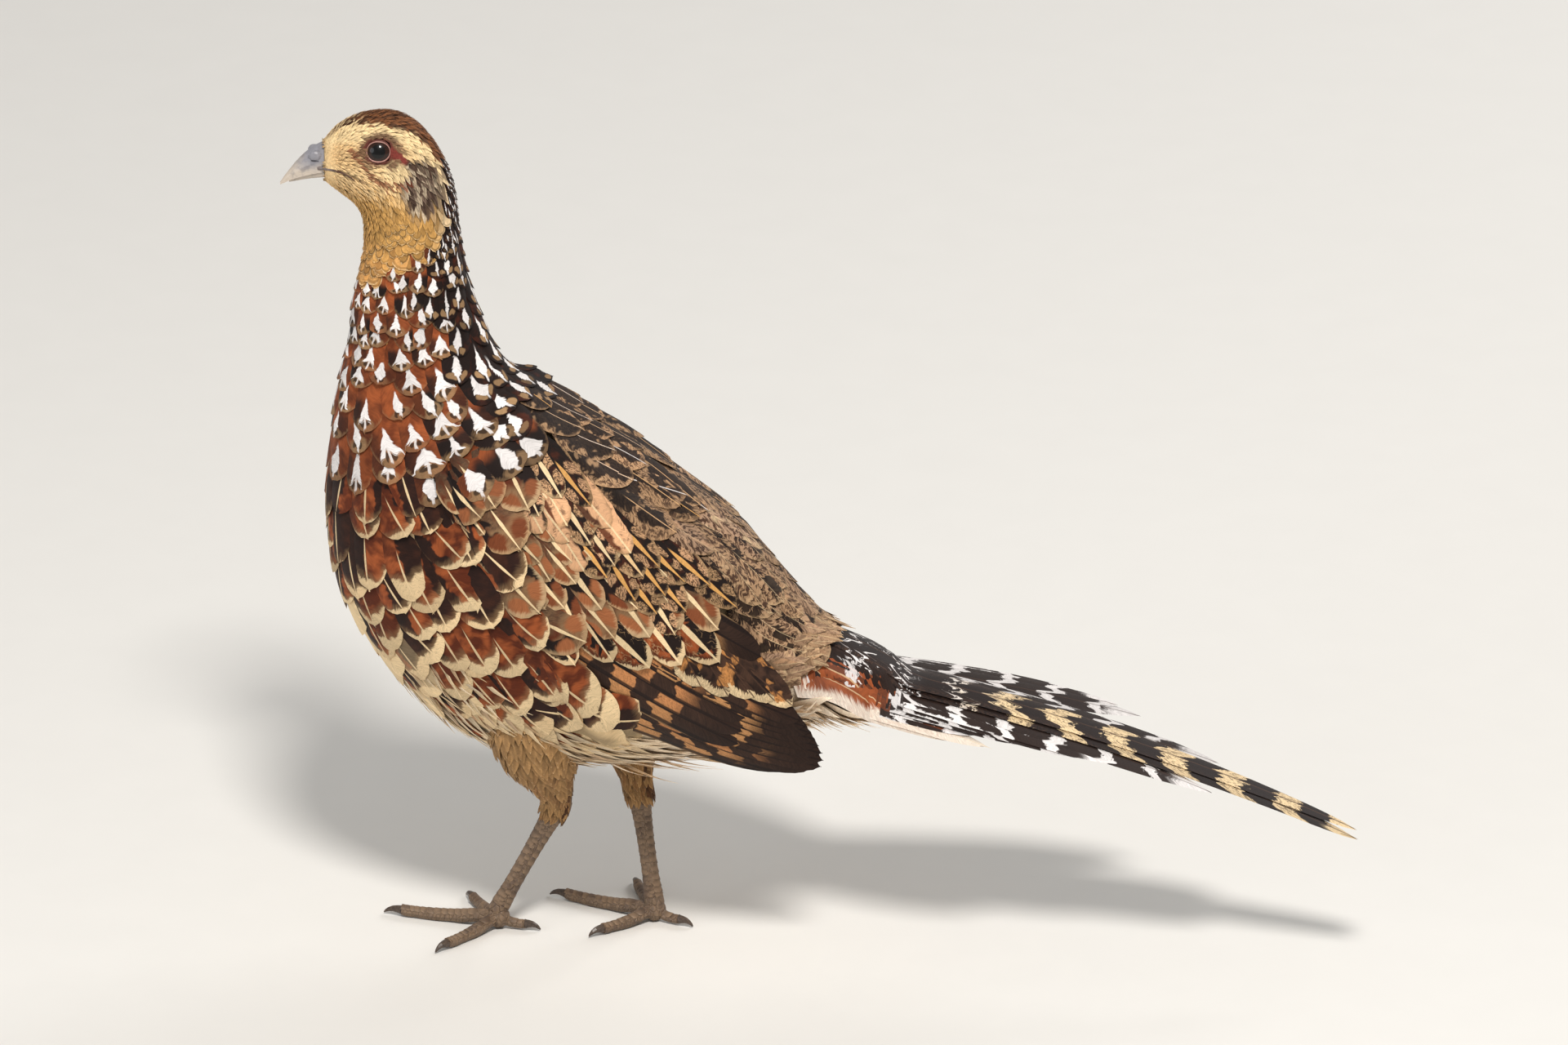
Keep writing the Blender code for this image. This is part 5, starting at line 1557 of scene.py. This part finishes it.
# Share of rufous in the outer tail feathers by pair, on the right and on the left.
TAIL_RUFOUS = {1: {6: 0.9, 7: 0.9, 8: 0.9}, -1: {5: 0.97, 6: 0.5}}


def rump_height(x, y):
    """Height of the rump's end under the tail's root."""
    t = np.interp(x, SECTIONS[RUMP_FROM:, 0], np.arange(RUMP_FROM, len(SECTIONS)))
    row = spline_rows(SECTIONS, t)
    side = np.clip(np.abs(y) / row[..., 3], 0, 1)
    height = row[..., 1] + row[..., 2] * np.sqrt(1 - side**2)
    start = 36 - 28 * side**2
    height = height - 14 * ease((x - start) / (58 - start))
    return np.where(x > SECTIONS[-1, 0] + 3, 0, height)


def lay_tail(coat):
    """The long tail feathers in pairs, from the centre outwards and down."""
    rng = np.random.default_rng(91)
    across, down = grid_of(9, 34, 1.1)
    centre = np.interp(down, (0, 0.12, 0.45, 0.8, 0.94, 0.985, 1),
                       (0.7, 1, 0.92, 0.60, 0.38, 0.2, 0.03))
    beside = outline("long", down) * np.interp(down, (0, 0.55, 0.9, 1), (1, 1, 0.72, 0.5))
    level = TAIL_TOP
    for pair, (right, left, width) in enumerate(TAIL_FEATHERS):
        x = across[None, :] * (beside if pair else centre)[:, None]
        offset = x * width / 2
        kind = "tail_outer" if pair > 6 else "tail_side" if pair else "tail_centre"
        for sign, (length, angle) in ((1, right), (-1, left)):
            split = rng.normal(0, 0.35, (1, 9)) * down[:, None] ** 14
            turn = math.radians(angle)
            start = np.array((TAIL_START, sign * (0.8 + 2.1 * pair)))
            way = length * np.array((math.cos(turn), math.sin(turn) * sign)) - start
            span = float(np.linalg.norm(way))
            cos, sin = way / span
            reach = (span * down)[:, None] + split * 4
            lift = 0.35 * (1 - across**2)[None, :] - 0.5 * x * x - 0.8 * (x * sign).clip(0) ** 2
            along = start[0] + reach * cos - offset * sin
            side = start[1] + reach * sin + offset * cos
            height = tail_height(along, offset, level + lift)
            cover = rump_height(TAIL_ROOT[0] + along, side) + 0.5 + 0.22 * (level - TAIL_TOP) + lift
            height = np.logaddexp(height / TAIL_BLEND, cover / TAIL_BLEND) * TAIL_BLEND
            points = np.stack((TAIL_ROOT[0] + along, side, height), axis=-1)
            vane = np.stack((x, np.broadcast_to(down[:, None], x.shape)), axis=-1)
            rufous = TAIL_RUFOUS[sign].get(pair, 0.0)
            coat.add(points[None], vane[None], KINDS.index(kind),
                     np.array(((0.5 + sign * (0.04 + 0.05 * pair), 0.3),)), rng.random((1, 3)),
                     width, span, (0.15 + 0.3 * rng.random(), sign, rufous), flip=True, size=0.04)
            if pair < 2 or sign < 0:
                level -= TAIL_LAYER


def lay_tail_coverts(coat, chart):
    """The feathers that cover the root of the tail."""
    rng = np.random.default_rng(97)
    t, phi = scatter(chart, (16.8, -2.0), (17.6, 2.0),
                     lambda p, t, phi: np.full(t.shape, 4.6), 9)[:2]
    count = len(t)
    length = 15 + 6 * rng.random(count)
    heading = rng.normal(0, 0.2, count)
    tips = 1.6 + rng.normal(0, 0.4, count)
    mark = np.stack((np.full(count, 0.4), np.full(count, 0.6), rng.random(count) * 0.3), axis=-1)
    coat.grow(chart, t, phi, heading, length, 7.0, (-0.8, tips), KINDS.index("rump"),
              body_patch(t, phi), mark, (1, 1, 1), rng.random((count, 3)), size=0.012, rows=8,
              shape="point")


# Strips of plates down the shank: angle round it, first and last place, pace, width and
# unevenness.
SHANK_STRIPS = (
    (-2.2, 1.5, 4.95, 0.26, 4.8, 0), (-0.95, 1.63, 5.08, 0.26, 4.8, 0),
    (0.85, 1.5, 4.95, 0.24, 4.2, 0), (2.3, 1.63, 5.08, 0.24, 4.2, 0),
    (-0.25, 1.6, 4.95, 0.17, 2.6, 0.12), (3.05, 1.6, 4.95, 0.17, 2.6, 0.12),
)


def lay_scutes(coat):
    """Overlapping plates down the shanks' fronts and backs and along the toes."""
    rng = np.random.default_rng(103)
    for side in SIDES:
        strips = []
        for phi, start, end, pace, size, uneven in SHANK_STRIPS:
            s = np.arange(start, end, pace)
            around = phi + (rng.normal(0, uneven, len(s)) if uneven else 0 * s)
            strips.append(np.stack((s, around, np.full(len(s), size)), axis=-1))
        charts = [(tube_chart(leg_rows(side)[1], (1, 0, 0), 0.8), np.concatenate(strips), 0.78)]
        for toe, sizes in TOES.items():
            rows = toe_rows(side, toe)
            s = np.arange(0.9 if toe != "hind" else 1.6, 4.72, 2.9 / sizes[0] * 5)
            half = spline_rows(rows, s)[..., 3]
            spots = np.stack((s, np.full(len(s), math.pi / 2), half * 2.1), axis=-1)
            charts.append((tube_chart(rows, (0, 0, 1), 1.0, 71), spots, 0.62))
        for chart, spots, stretch in charts:
            s, phi, width = spots.T
            phi = (phi + math.pi) % (2 * math.pi) - math.pi
            patch = np.stack((phi / 14 + 0.3 + 0.4 * (side == "left"), s / 6), axis=-1)
            coat.grow(chart, s, phi, 0, width * stretch + 0.9, width, (-0.25, 0.28), 0, patch,
                      (0, 0, 0), (1, 1, 1), rng.random((len(s), 3)), shape="plate", cols=7, rows=5,
                      camber=0.0, ragged_tip=0)


SKIN_NODES = ("head", "neck", "torso", "thigh_left", "thigh_right")
SKIN_MERGE = 0.00002
SKIN_VOXEL = 0.0019
# Depth of the skin inside the solids by height up the neck, its depth on the head
# above that, and where the face starts.
SKIN_HEIGHT = (250, 340)
SKIN_DEPTH = (2.0, 1.0)
HEAD_SKIN_DEPTH = 0.8
FACE_FROM_Z = 370


def to_object(builder, name, finish):
    """A smooth object made from a bmesh, in its finish."""
    mesh = bpy.data.meshes.new(name)
    builder.to_mesh(mesh)
    builder.free()
    mesh.polygons.foreach_set("use_smooth", np.ones(len(mesh.polygons), dtype=bool))
    mesh.materials.append(finish)
    return link(bpy.data.objects.new(name, mesh))


def joined_solids(names, finish):
    """One closed mesh round copies of some solids."""
    builder = bmesh.new()
    for name in names:
        builder.from_mesh(frame["nodes"][name].data)
    bmesh.ops.remove_doubles(builder, verts=builder.verts, dist=SKIN_MERGE)
    obj = to_object(builder, "skin", finish)
    remesh = obj.modifiers.new("remesh", "REMESH")
    remesh.mode = "VOXEL"
    remesh.voxel_size = SKIN_VOXEL
    remesh.use_smooth_shade = True
    held = bpy.context.evaluated_depsgraph_get()
    old = obj.data
    mesh = bpy.data.meshes.new_from_object(obj.evaluated_get(held))
    obj.modifiers.clear()
    obj.data = mesh
    bpy.data.meshes.remove(old)
    mesh.name = obj.name
    return obj


def settle(obj, slot, *nodes):
    """Rides a piece on the bird and hides the solids that it stands for; the slot is not used."""
    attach(obj, "root")
    if nodes:
        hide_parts(*nodes)
    return obj


def skin_finish():
    """The skin between the feathers, in the coat's own colours."""
    f = Finish("Skin", roughness=0.7)
    tint = f.attribute("Tint", colour=True)
    place = f.place()
    grain = f.noise(place, 900, 3, 0.6)
    wart = f.cells(place, 1100)
    return f.finish(f.shade(tint, 0.4 + 0.5 * grain + 0.4 * wart), wart, 0.0003, 0.6)


def make_skin(places, tints):
    """One skin under the coat, in the colours of the feathers that grow from it."""
    skin = joined_solids(SKIN_NODES, skin_finish())
    mesh = skin.data
    count = len(mesh.vertices)
    co = np.empty(count * 3, dtype=np.float32)
    normal = np.empty(count * 3, dtype=np.float32)
    mesh.vertices.foreach_get("co", co)
    mesh.vertex_normals.foreach_get("vector", normal)
    co = co.reshape(-1, 3) / MM
    normal = normal.reshape(-1, 3)
    z = co[:, 2]
    on_face = z > FACE_FROM_Z
    depth = np.where(z > SKIN_HEIGHT[1], HEAD_SKIN_DEPTH, np.interp(z, SKIN_HEIGHT, SKIN_DEPTH))
    depth = depth * (1 - 0.7 * near_eye(co) * on_face)
    depth = depth * (1 - 1.3 * ease((-222 - straight(co)[:, 0]) / 6) * on_face)
    co = co - normal * depth[:, None]
    mesh.vertices.foreach_set("co", (co * MM).ravel().astype(np.float32))
    tree = KDTree(len(places))
    for index, point in enumerate(places):
        tree.insert(point, index)
    tree.balance()
    nearest = np.array([tree.find(point)[1] for point in co])
    tint = tints[nearest]
    face = near_eye(co) * on_face
    red = ribbon(straight(co), ((-200, 16.2, 396), (-194.3, 15, 391.2)), 2.4, 0.8)
    tint = blend(tint, srgb(96, 46, 36), face)
    tint = blend(tint, np.array(bare().patch), face * red)
    write_attribute(mesh, "Tint", tint)
    return settle(skin, "body_plumage", *SKIN_NODES)


def eye_finish():
    """A dark brown eye with a black pupil under a wet gloss."""
    f = Finish("Eye", roughness=0.35, specular=0.1, coat=0.55)
    streak = f.noise(f.place(), 1500, 2, 0.6)
    reach = f.attribute("Ring")[0]
    iris = f.mix(streak.step(0.35, 0.65) * 0.6, srgb(30, 15, 10), srgb(58, 30, 17))
    tone = f.mix(reach.step(0.50, 0.58), srgb(6, 5, 6), iris)
    tone = f.mix(reach.step(0.84, 0.95), tone, srgb(20, 12, 10))
    return f.finish(tone)


def eye_frame(side):
    """The place of an eye on the turned head, and the way it looks."""
    spot = EYE_ON_SKIN * (1, -SIDES[side], 1)
    axis = EYE_AXIS * (1, -SIDES[side], 1)
    at = turned(spot[None])[0]
    ahead = turned((spot + axis / np.linalg.norm(axis) * 0.01)[None])[0] - at
    return at, ahead / np.linalg.norm(ahead)


def make_eye(side):
    """The eyeball, with its iris and pupil set by rings from its axis."""
    at, axis = eye_frame(side)
    centre = Vector((at - axis * EYE_DEPTH) * MM)
    turn = Vector(axis).to_track_quat("Z", "Y").to_matrix().to_4x4()
    builder = bmesh.new()
    bmesh.ops.create_uvsphere(builder, u_segments=48, v_segments=32, radius=EYE_RADIUS * MM,
                              matrix=Matrix.Translation(centre) @ turn)
    eye = to_object(builder, "eye_dressed_" + side, eye_finish())
    co = np.array([v.co for v in eye.data.vertices]) / MM - np.array(centre) / MM
    ring = np.arccos(np.clip(co @ axis / EYE_RADIUS, -1, 1)) / IRIS_EDGE
    write_attribute(eye.data, "Ring", np.repeat(ring, 3))
    return settle(eye, "eye_gloss", "eye_" + side)


def loop_mesh(rings, name, finish, closed):
    """A tube through rings of places, joined round if closed, else with both ends shut."""
    builder = bmesh.new()
    made = [[builder.verts.new(Vector(p) * MM) for p in ring] for ring in rings]
    count = len(made[0])
    for one, two in zip(made, made[1:] + made[:1] if closed else made[1:]):
        for j in range(count):
            builder.faces.new((one[j], one[(j + 1) % count], two[(j + 1) % count], two[j]))
    if not closed:
        builder.faces.new(made[0])
        builder.faces.new(reversed(made[-1]))
    bmesh.ops.recalc_face_normals(builder, faces=builder.faces)
    return to_object(builder, name, finish)


def make_lid(side):
    """The lids: an oval band over the eyeball, flatter above, pinched at both corners."""
    at, axis = eye_frame(side)
    up = np.array((0.0, 0, 1)) - axis * axis[2]
    up /= np.linalg.norm(up)
    ahead = np.cross(up, axis)
    ahead *= -np.sign(ahead[0])
    centre = at - axis * EYE_DEPTH
    rings, share = [], []
    for turn in np.linspace(0, 2 * math.pi, 80, endpoint=False):
        opening = math.radians(39 + 9 * abs(math.cos(turn)) ** 1.6 - 1.5 * max(math.sin(turn), 0))
        angle = (opening + LID_EDGE) / 2
        radial = ahead * math.cos(turn) + up * math.sin(turn)
        way = axis * math.cos(angle) + radial * math.sin(angle)
        out = radial * math.cos(angle) - axis * math.sin(angle)
        wide = (LID_EDGE - opening) / 2 * EYE_RADIUS
        thick = 0.5 + 0.04 * math.sin(turn * 11)
        middle = centre + way * (EYE_RADIUS + 0.05)
        around = np.linspace(0, 2 * math.pi, 14, endpoint=False)
        rings.append([middle + way * thick * math.cos(a) + out * wide * math.sin(a)
                      for a in around])
        share += list((1 + np.sin(around)) / 2)
    f = Finish("Eye rim", roughness=0.5, specular=0.3)
    ring = f.attribute("Ring")[0]
    grain = f.noise(f.place(), 1300, 3, 0.6)
    tone = f.mix(grain.step(0.35, 0.65) * 0.4, bare().rim, srgb(150, 92, 84))
    tone = f.mix((ring + (grain - 0.5) * 0.16).step(0.07, 0.24), tone, srgb(88, 46, 38))
    lid = loop_mesh(rings, "lid_" + side, f.finish(tone, grain, 0.0003, 0.6), True)
    write_attribute(lid.data, "Ring", np.repeat(share, 3))
    return settle(lid, "head_plumage")


def make_gape(side):
    """The fold of horn and skin that carries the line of the mouth back under the eye."""
    path = np.array(GAPE)
    rings = []
    for share in np.linspace(0, 1, 25):
        point = spline_rows(path, share * (len(path) - 1))
        ahead = spline_rows(path, share * (len(path) - 1) + 0.1) - point
        ahead /= np.linalg.norm(ahead)
        out = np.cross(ahead, (0, 0, 1))
        out /= np.linalg.norm(out) * (1 if out[1] > 0 else -1)
        rise = np.cross(ahead, out)
        size = 0.95 * (1 - 0.75 * share)
        ring = [point + out * (0.25 + size * math.cos(a) * 0.7) + rise * size * math.sin(a)
                for a in np.linspace(0, 2 * math.pi, 10, endpoint=False)]
        rings.append(turned(np.array(ring) * (1, SIDES[side], 1)))
    f = Finish("Gape", roughness=0.5, specular=0.3)
    grain = f.noise(f.place(), 900, 3, 0.6)
    ahead = f.split(f.place())[0] * -1000
    tone = f.mix(ahead.step(222, 229), srgb(84, 56, 42), srgb(128, 118, 116))
    tone = f.mix(grain.step(0.4, 0.6) * 0.5, tone, srgb(78, 60, 50))
    gape = loop_mesh(rings, "gape_" + side, f.finish(tone, grain, 0.0002, 0.5), False)
    return settle(gape, "bill_horn")


def horn_finish(h):
    """Bill horn: blue grey at the base and on the ridge, ivory at the edges and tip."""
    f = Finish("Bill horn", roughness=0.36, specular=0.45)
    place = f.place()
    x, y, z = f.split(place)
    grain = f.noise(f.join(x * 250, y * 900, z * 900), 1, 3, 0.6)
    blur = f.noise(place, 260, 2, 0.5)
    tip = (x * -1000 + (blur - 0.5) * 6).step(237, 247)
    low = (z * 1000 + (blur - 0.5) * 5).step(388, 380.5)
    tone = f.mix((tip * 0.8).most(low * 0.75), h.horn, h.ivory)
    tone = f.mix(blur.step(0.52, 0.66) * 0.35, tone, srgb(104, 100, 104))
    tone = f.mix(grain.step(0.5, 0.7) * 0.25, tone, srgb(92, 86, 86))
    return f.finish(f.shade(tone, 0.8 + 0.35 * grain), grain, 0.0003, 0.5)


def scale_finish(h):
    """Leg scales: small plates with pale edges."""
    f = Finish("Leg scales", roughness=0.5, specular=0.35)
    place = f.place()
    x, y, z = f.split(place)
    spread = f.join(x * 1000, y * 1000, z * 620)
    edge = f.cells(spread, 0.42, "DISTANCE_TO_EDGE")
    plate = f.cells(spread, 0.42)
    grain = f.noise(place, 700, 3, 0.6)
    broad = f.noise(place, 60, 2, 0.5)
    tone = f.mix(grain.step(0.35, 0.65), h.leg, srgb(96, 80, 70))
    tone = f.mix(plate.step(0.1, 0.8) * 0.6, tone, h.scute)
    tone = f.mix(edge.step(0.07, 0.02) * 0.55, tone, srgb(70, 56, 48))
    tone = f.mix(broad.step(0.45, 0.6) * 0.35, tone, h.scute)
    return f.finish(tone, edge.step(0.0, 0.14), 0.0005, 0.7)


def scute_finish(h):
    """Leg plates: grey brown with a pale worn edge, and painted shade towards the root that the
    plate before lies over.
    """
    f = Finish("Leg plates", roughness=0.5, specular=0.3)
    x, y = f.uv("Vane")
    pick, pick2 = f.attribute("Pick")[:2]
    grain = f.noise(f.place(), 900, 3, 0.6)
    broad = f.noise(f.place(), 70, 2, 0.5)
    tone = f.mix(pick * 0.5 + grain * 0.4, h.leg, srgb(96, 80, 70))
    tone = f.mix((broad + pick2 * 0.2).step(0.5, 0.66) * 0.55, tone, h.scute)
    edge = (x * x + y * y * y).step(0.72, 1.0)
    tone = f.mix(edge * (0.25 + 0.5 * grain), tone, h.scute)
    # Darker towards each plate's root, where the plate before it lies over it: painted shade.
    return f.finish(f.shade(tone, 0.7 + 0.35 * y.step(0.2, 0.7)), grain, 0.0002, 0.5)


def claw_finish(h):
    """Dark claw horn, streaked paler."""
    f = Finish("Claw horn", roughness=0.35, specular=0.4)
    grain = f.noise(f.place(), 800, 3, 0.6)
    return f.finish(f.mix(grain.step(0.4, 0.7), h.claw, srgb(60, 50, 44)), grain, 0.0002, 0.4)


def dress(names, material):
    """Gives carried-over solids their finish."""
    for name in names:
        mesh = frame["nodes"][name].data
        mesh.materials.clear()
        mesh.materials.append(material)


COATS = {}
PIECES = {
    "head": "head_plumage", "neck": "neck_plumage", "breast": "body_plumage",
    "back": "body_plumage", "fluff": "body_plumage", "thighs": "leg_plumage",
    "wing_left": "wing_plumage", "wing_right": "wing_plumage", "tail": "tail_plumage",
}


def build_coat(name, *nodes):
    """Joins a coat into its piece, with the finishes that it uses."""
    coat = COATS[name]
    used = sorted({int(k) for part in coat.sets for k in np.unique(part["kind"])})
    for part in coat.sets:
        part["kind"] = np.searchsorted(used, part["kind"])
    obj = coat.build("coat_" + name, [feather_finish(KINDS[k]) for k in used])
    return settle(obj, PIECES[name], *nodes)


class PHEASANT_OT_head(bpy.types.Operator):
    """Lays the short feathers of the head and throat"""
    bl_idname = "pheasant.head"
    bl_label = "Head plumage"

    def execute(self, context):
        COATS["head"] = Coat()
        lay_head(COATS["head"], body_chart())
        build_coat("head")
        return {"FINISHED"}


class PHEASANT_OT_body(bpy.types.Operator):
    """Lays the rows of the neck, breast, belly, back and rump, and the loose plumes below"""
    bl_idname = "pheasant.body"
    bl_label = "Body plumage"

    def execute(self, context):
        chart = body_chart()
        for name in ("neck", "breast", "back", "fluff"):
            COATS[name] = Coat()
        lay_body(COATS, chart)
        lay_fluff(COATS["fluff"], chart)
        lay_tail_coverts(COATS["back"], chart)
        for name in ("neck", "breast", "back", "fluff"):
            build_coat(name)
        return {"FINISHED"}


class PHEASANT_OT_thighs(bpy.types.Operator):
    """Lays the short feathers of the thighs"""
    bl_idname = "pheasant.thighs"
    bl_label = "Thigh plumage"

    def execute(self, context):
        COATS["thighs"] = Coat()
        lay_thighs(COATS["thighs"])
        build_coat("thighs")
        return {"FINISHED"}


class PHEASANT_OT_wings(bpy.types.Operator):
    """Lays both folded wings: flight feathers, coverts and scapulars"""
    bl_idname = "pheasant.wings"
    bl_label = "Wings"

    def execute(self, context):
        chart = wing_chart()
        for side in SIDES:
            name = "wing_" + side
            COATS[name] = Coat()
            lay_wing(COATS[name], chart, side)
            build_coat(name, name)
        return {"FINISHED"}


class PHEASANT_OT_tail(bpy.types.Operator):
    """Lays the long tail feathers"""
    bl_idname = "pheasant.tail"
    bl_label = "Tail"

    def execute(self, context):
        COATS["tail"] = Coat()
        lay_tail(COATS["tail"])
        build_coat("tail", "tail")
        return {"FINISHED"}


class PHEASANT_OT_skin(bpy.types.Operator):
    """Makes the one skin that the coat grows from"""
    bl_idname = "pheasant.skin"
    bl_label = "Skin"

    def execute(self, context):
        if "head" not in COATS or "neck" not in COATS:
            raise RuntimeError("Lay the coat before the skin")
        coats = [COATS[name] for name in ("head", "neck", "breast", "back", "fluff", "thighs")]
        places, tints = zip(*(coat.roots() for coat in coats))
        make_skin(np.concatenate(places), np.concatenate(tints))
        return {"FINISHED"}


class PHEASANT_OT_eyes(bpy.types.Operator):
    """Makes the eyes and the bare skin round them"""
    bl_idname = "pheasant.eyes"
    bl_label = "Eyes"

    def execute(self, context):
        for side in SIDES:
            make_eye(side)
            make_lid(side)
            make_gape(side)
        return {"FINISHED"}


class PHEASANT_OT_bare(bpy.types.Operator):
    """Finishes the bill, legs and claws"""
    bl_idname = "pheasant.bare"
    bl_label = "Bill, legs and claws"

    def execute(self, context):
        nodes = frame["nodes"]
        dress([n for n in nodes if n.startswith("bill")], horn_finish(bare()))
        dress([n for n in nodes if n.startswith(("shank", "foot"))], scale_finish(bare()))
        dress([n for n in nodes if n.startswith("claw")], claw_finish(bare()))
        plates = Coat()
        lay_scutes(plates)
        settle(plates.build("scutes", [scute_finish(bare())]), "leg_scales")
        return {"FINISHED"}


# The soft lights: place, aim, size, share of the key light's power, and colour.
LIGHTS = (
    ("key", (0.35, -1.5, 2.6), (-0.03, 0, 0.2), 0.55, 1.15, (1.0, 0.965, 0.92)),
    ("fill", (-2.2, -1.5, 1.0), (0, 0, 0.2), 1.6, 0.22, (0.92, 0.96, 1.0)),
    ("rim", (1.3, 1.8, 1.6), (0, 0, 0.2), 1.2, 0.35, (1, 1, 1)),
)


def stage_finish(tone):
    """The floor: one matt tone with a fine grain."""
    f = Finish("Studio floor", roughness=0.85, specular=0.15)
    grain = f.noise(f.place(), 35, 3, 0.5)
    return f.finish(f.shade(tone, 0.98 + 0.03 * grain), grain, 0.0003, 0.15)


def area_light(name, place, aim, size, power, tone):
    """A round soft light that is turned to what it aims at."""
    data = bpy.data.lights.new(name, "AREA")
    data.shape = "DISK"
    data.size = size
    data.energy = power
    data.color = tone
    lamp = link(bpy.data.objects.new(name, data))
    lamp.location = place
    lamp.rotation_euler = (Vector(aim) - Vector(place)).to_track_quat("-Z", "Y").to_euler()


class PHEASANT_OT_studio(bpy.types.Operator):
    """Sets up the pale floor, the soft lights and the camera"""
    bl_idname = "pheasant.studio"
    bl_label = "Studio"

    def execute(self, context):
        s = context.scene.pheasant_studio
        builder = bmesh.new()
        bmesh.ops.create_grid(builder, x_segments=2, y_segments=2, size=6)
        floor = to_object(builder, "studio_floor", stage_finish(s.floor))
        world = bpy.data.worlds.new("Soft surround")
        world.use_nodes = True
        background = world.node_tree.nodes["Background"].inputs
        background["Color"].default_value = (0.94, 0.93, 0.91, 1)
        background["Strength"].default_value = 0.40
        context.scene.world = world
        for name, place, aim, size, share, tone in LIGHTS:
            area_light(name, place, aim, size, s.key * share, tone)
        data = bpy.data.cameras.new("camera")
        data.sensor_width = SENSOR_WIDTH
        data.lens = SENSOR_WIDTH * s.distance / s.width
        data.clip_end = 50
        camera = link(bpy.data.objects.new("camera", data))
        back = Vector((math.sin(VIEW_TURN) * math.cos(VIEW_RISE),
                       -math.cos(VIEW_TURN) * math.cos(VIEW_RISE), math.sin(VIEW_RISE)))
        camera.location = Vector(VIEW_AIM) + back * s.distance
        camera.rotation_euler = (-back).to_track_quat("-Z", "Y").to_euler()
        context.scene.camera = camera
        context.scene.view_settings.view_transform = "Standard"
        return {"FINISHED"}


OPERATORS = (
    PHEASANT_OT_head, PHEASANT_OT_body, PHEASANT_OT_thighs, PHEASANT_OT_wings, PHEASANT_OT_tail,
    PHEASANT_OT_skin, PHEASANT_OT_eyes, PHEASANT_OT_bare, PHEASANT_OT_studio,
)


class PHEASANT_PT_panel(bpy.types.Panel):
    """Lists the bird's pieces and their settings"""
    bl_label = "Reeves Pheasant"
    bl_space_type = "VIEW_3D"
    bl_region_type = "UI"
    bl_category = "Pheasant"

    def draw(self, context):
        scene = context.scene
        for group in (scene.pheasant_plumage, scene.pheasant_bare, scene.pheasant_studio):
            box = self.layout.box()
            for name in group.bl_rna.properties.keys():
                if name not in {"rna_type", "name"}:
                    box.prop(group, name)
        for operator in OPERATORS:
            self.layout.operator(operator.bl_idname)


CLASSES = (PlumageSettings, BareSettings, StudioSettings, *OPERATORS, PHEASANT_PT_panel)


def register():
    for entry in CLASSES:
        bpy.utils.register_class(entry)
    bpy.types.Scene.pheasant_plumage = PointerProperty(type=PlumageSettings)
    bpy.types.Scene.pheasant_bare = PointerProperty(type=BareSettings)
    bpy.types.Scene.pheasant_studio = PointerProperty(type=StudioSettings)


def unregister():
    del bpy.types.Scene.pheasant_studio
    del bpy.types.Scene.pheasant_bare
    del bpy.types.Scene.pheasant_plumage
    for entry in reversed(CLASSES):
        bpy.utils.unregister_class(entry)


def main():
    register()
    bpy.ops.pheasant.studio()
    bpy.ops.pheasant.head()
    bpy.ops.pheasant.body()
    bpy.ops.pheasant.thighs()
    bpy.ops.pheasant.wings()
    bpy.ops.pheasant.tail()
    bpy.ops.pheasant.skin()
    bpy.ops.pheasant.eyes()
    bpy.ops.pheasant.bare()


if __name__ == "__main__":
    main()
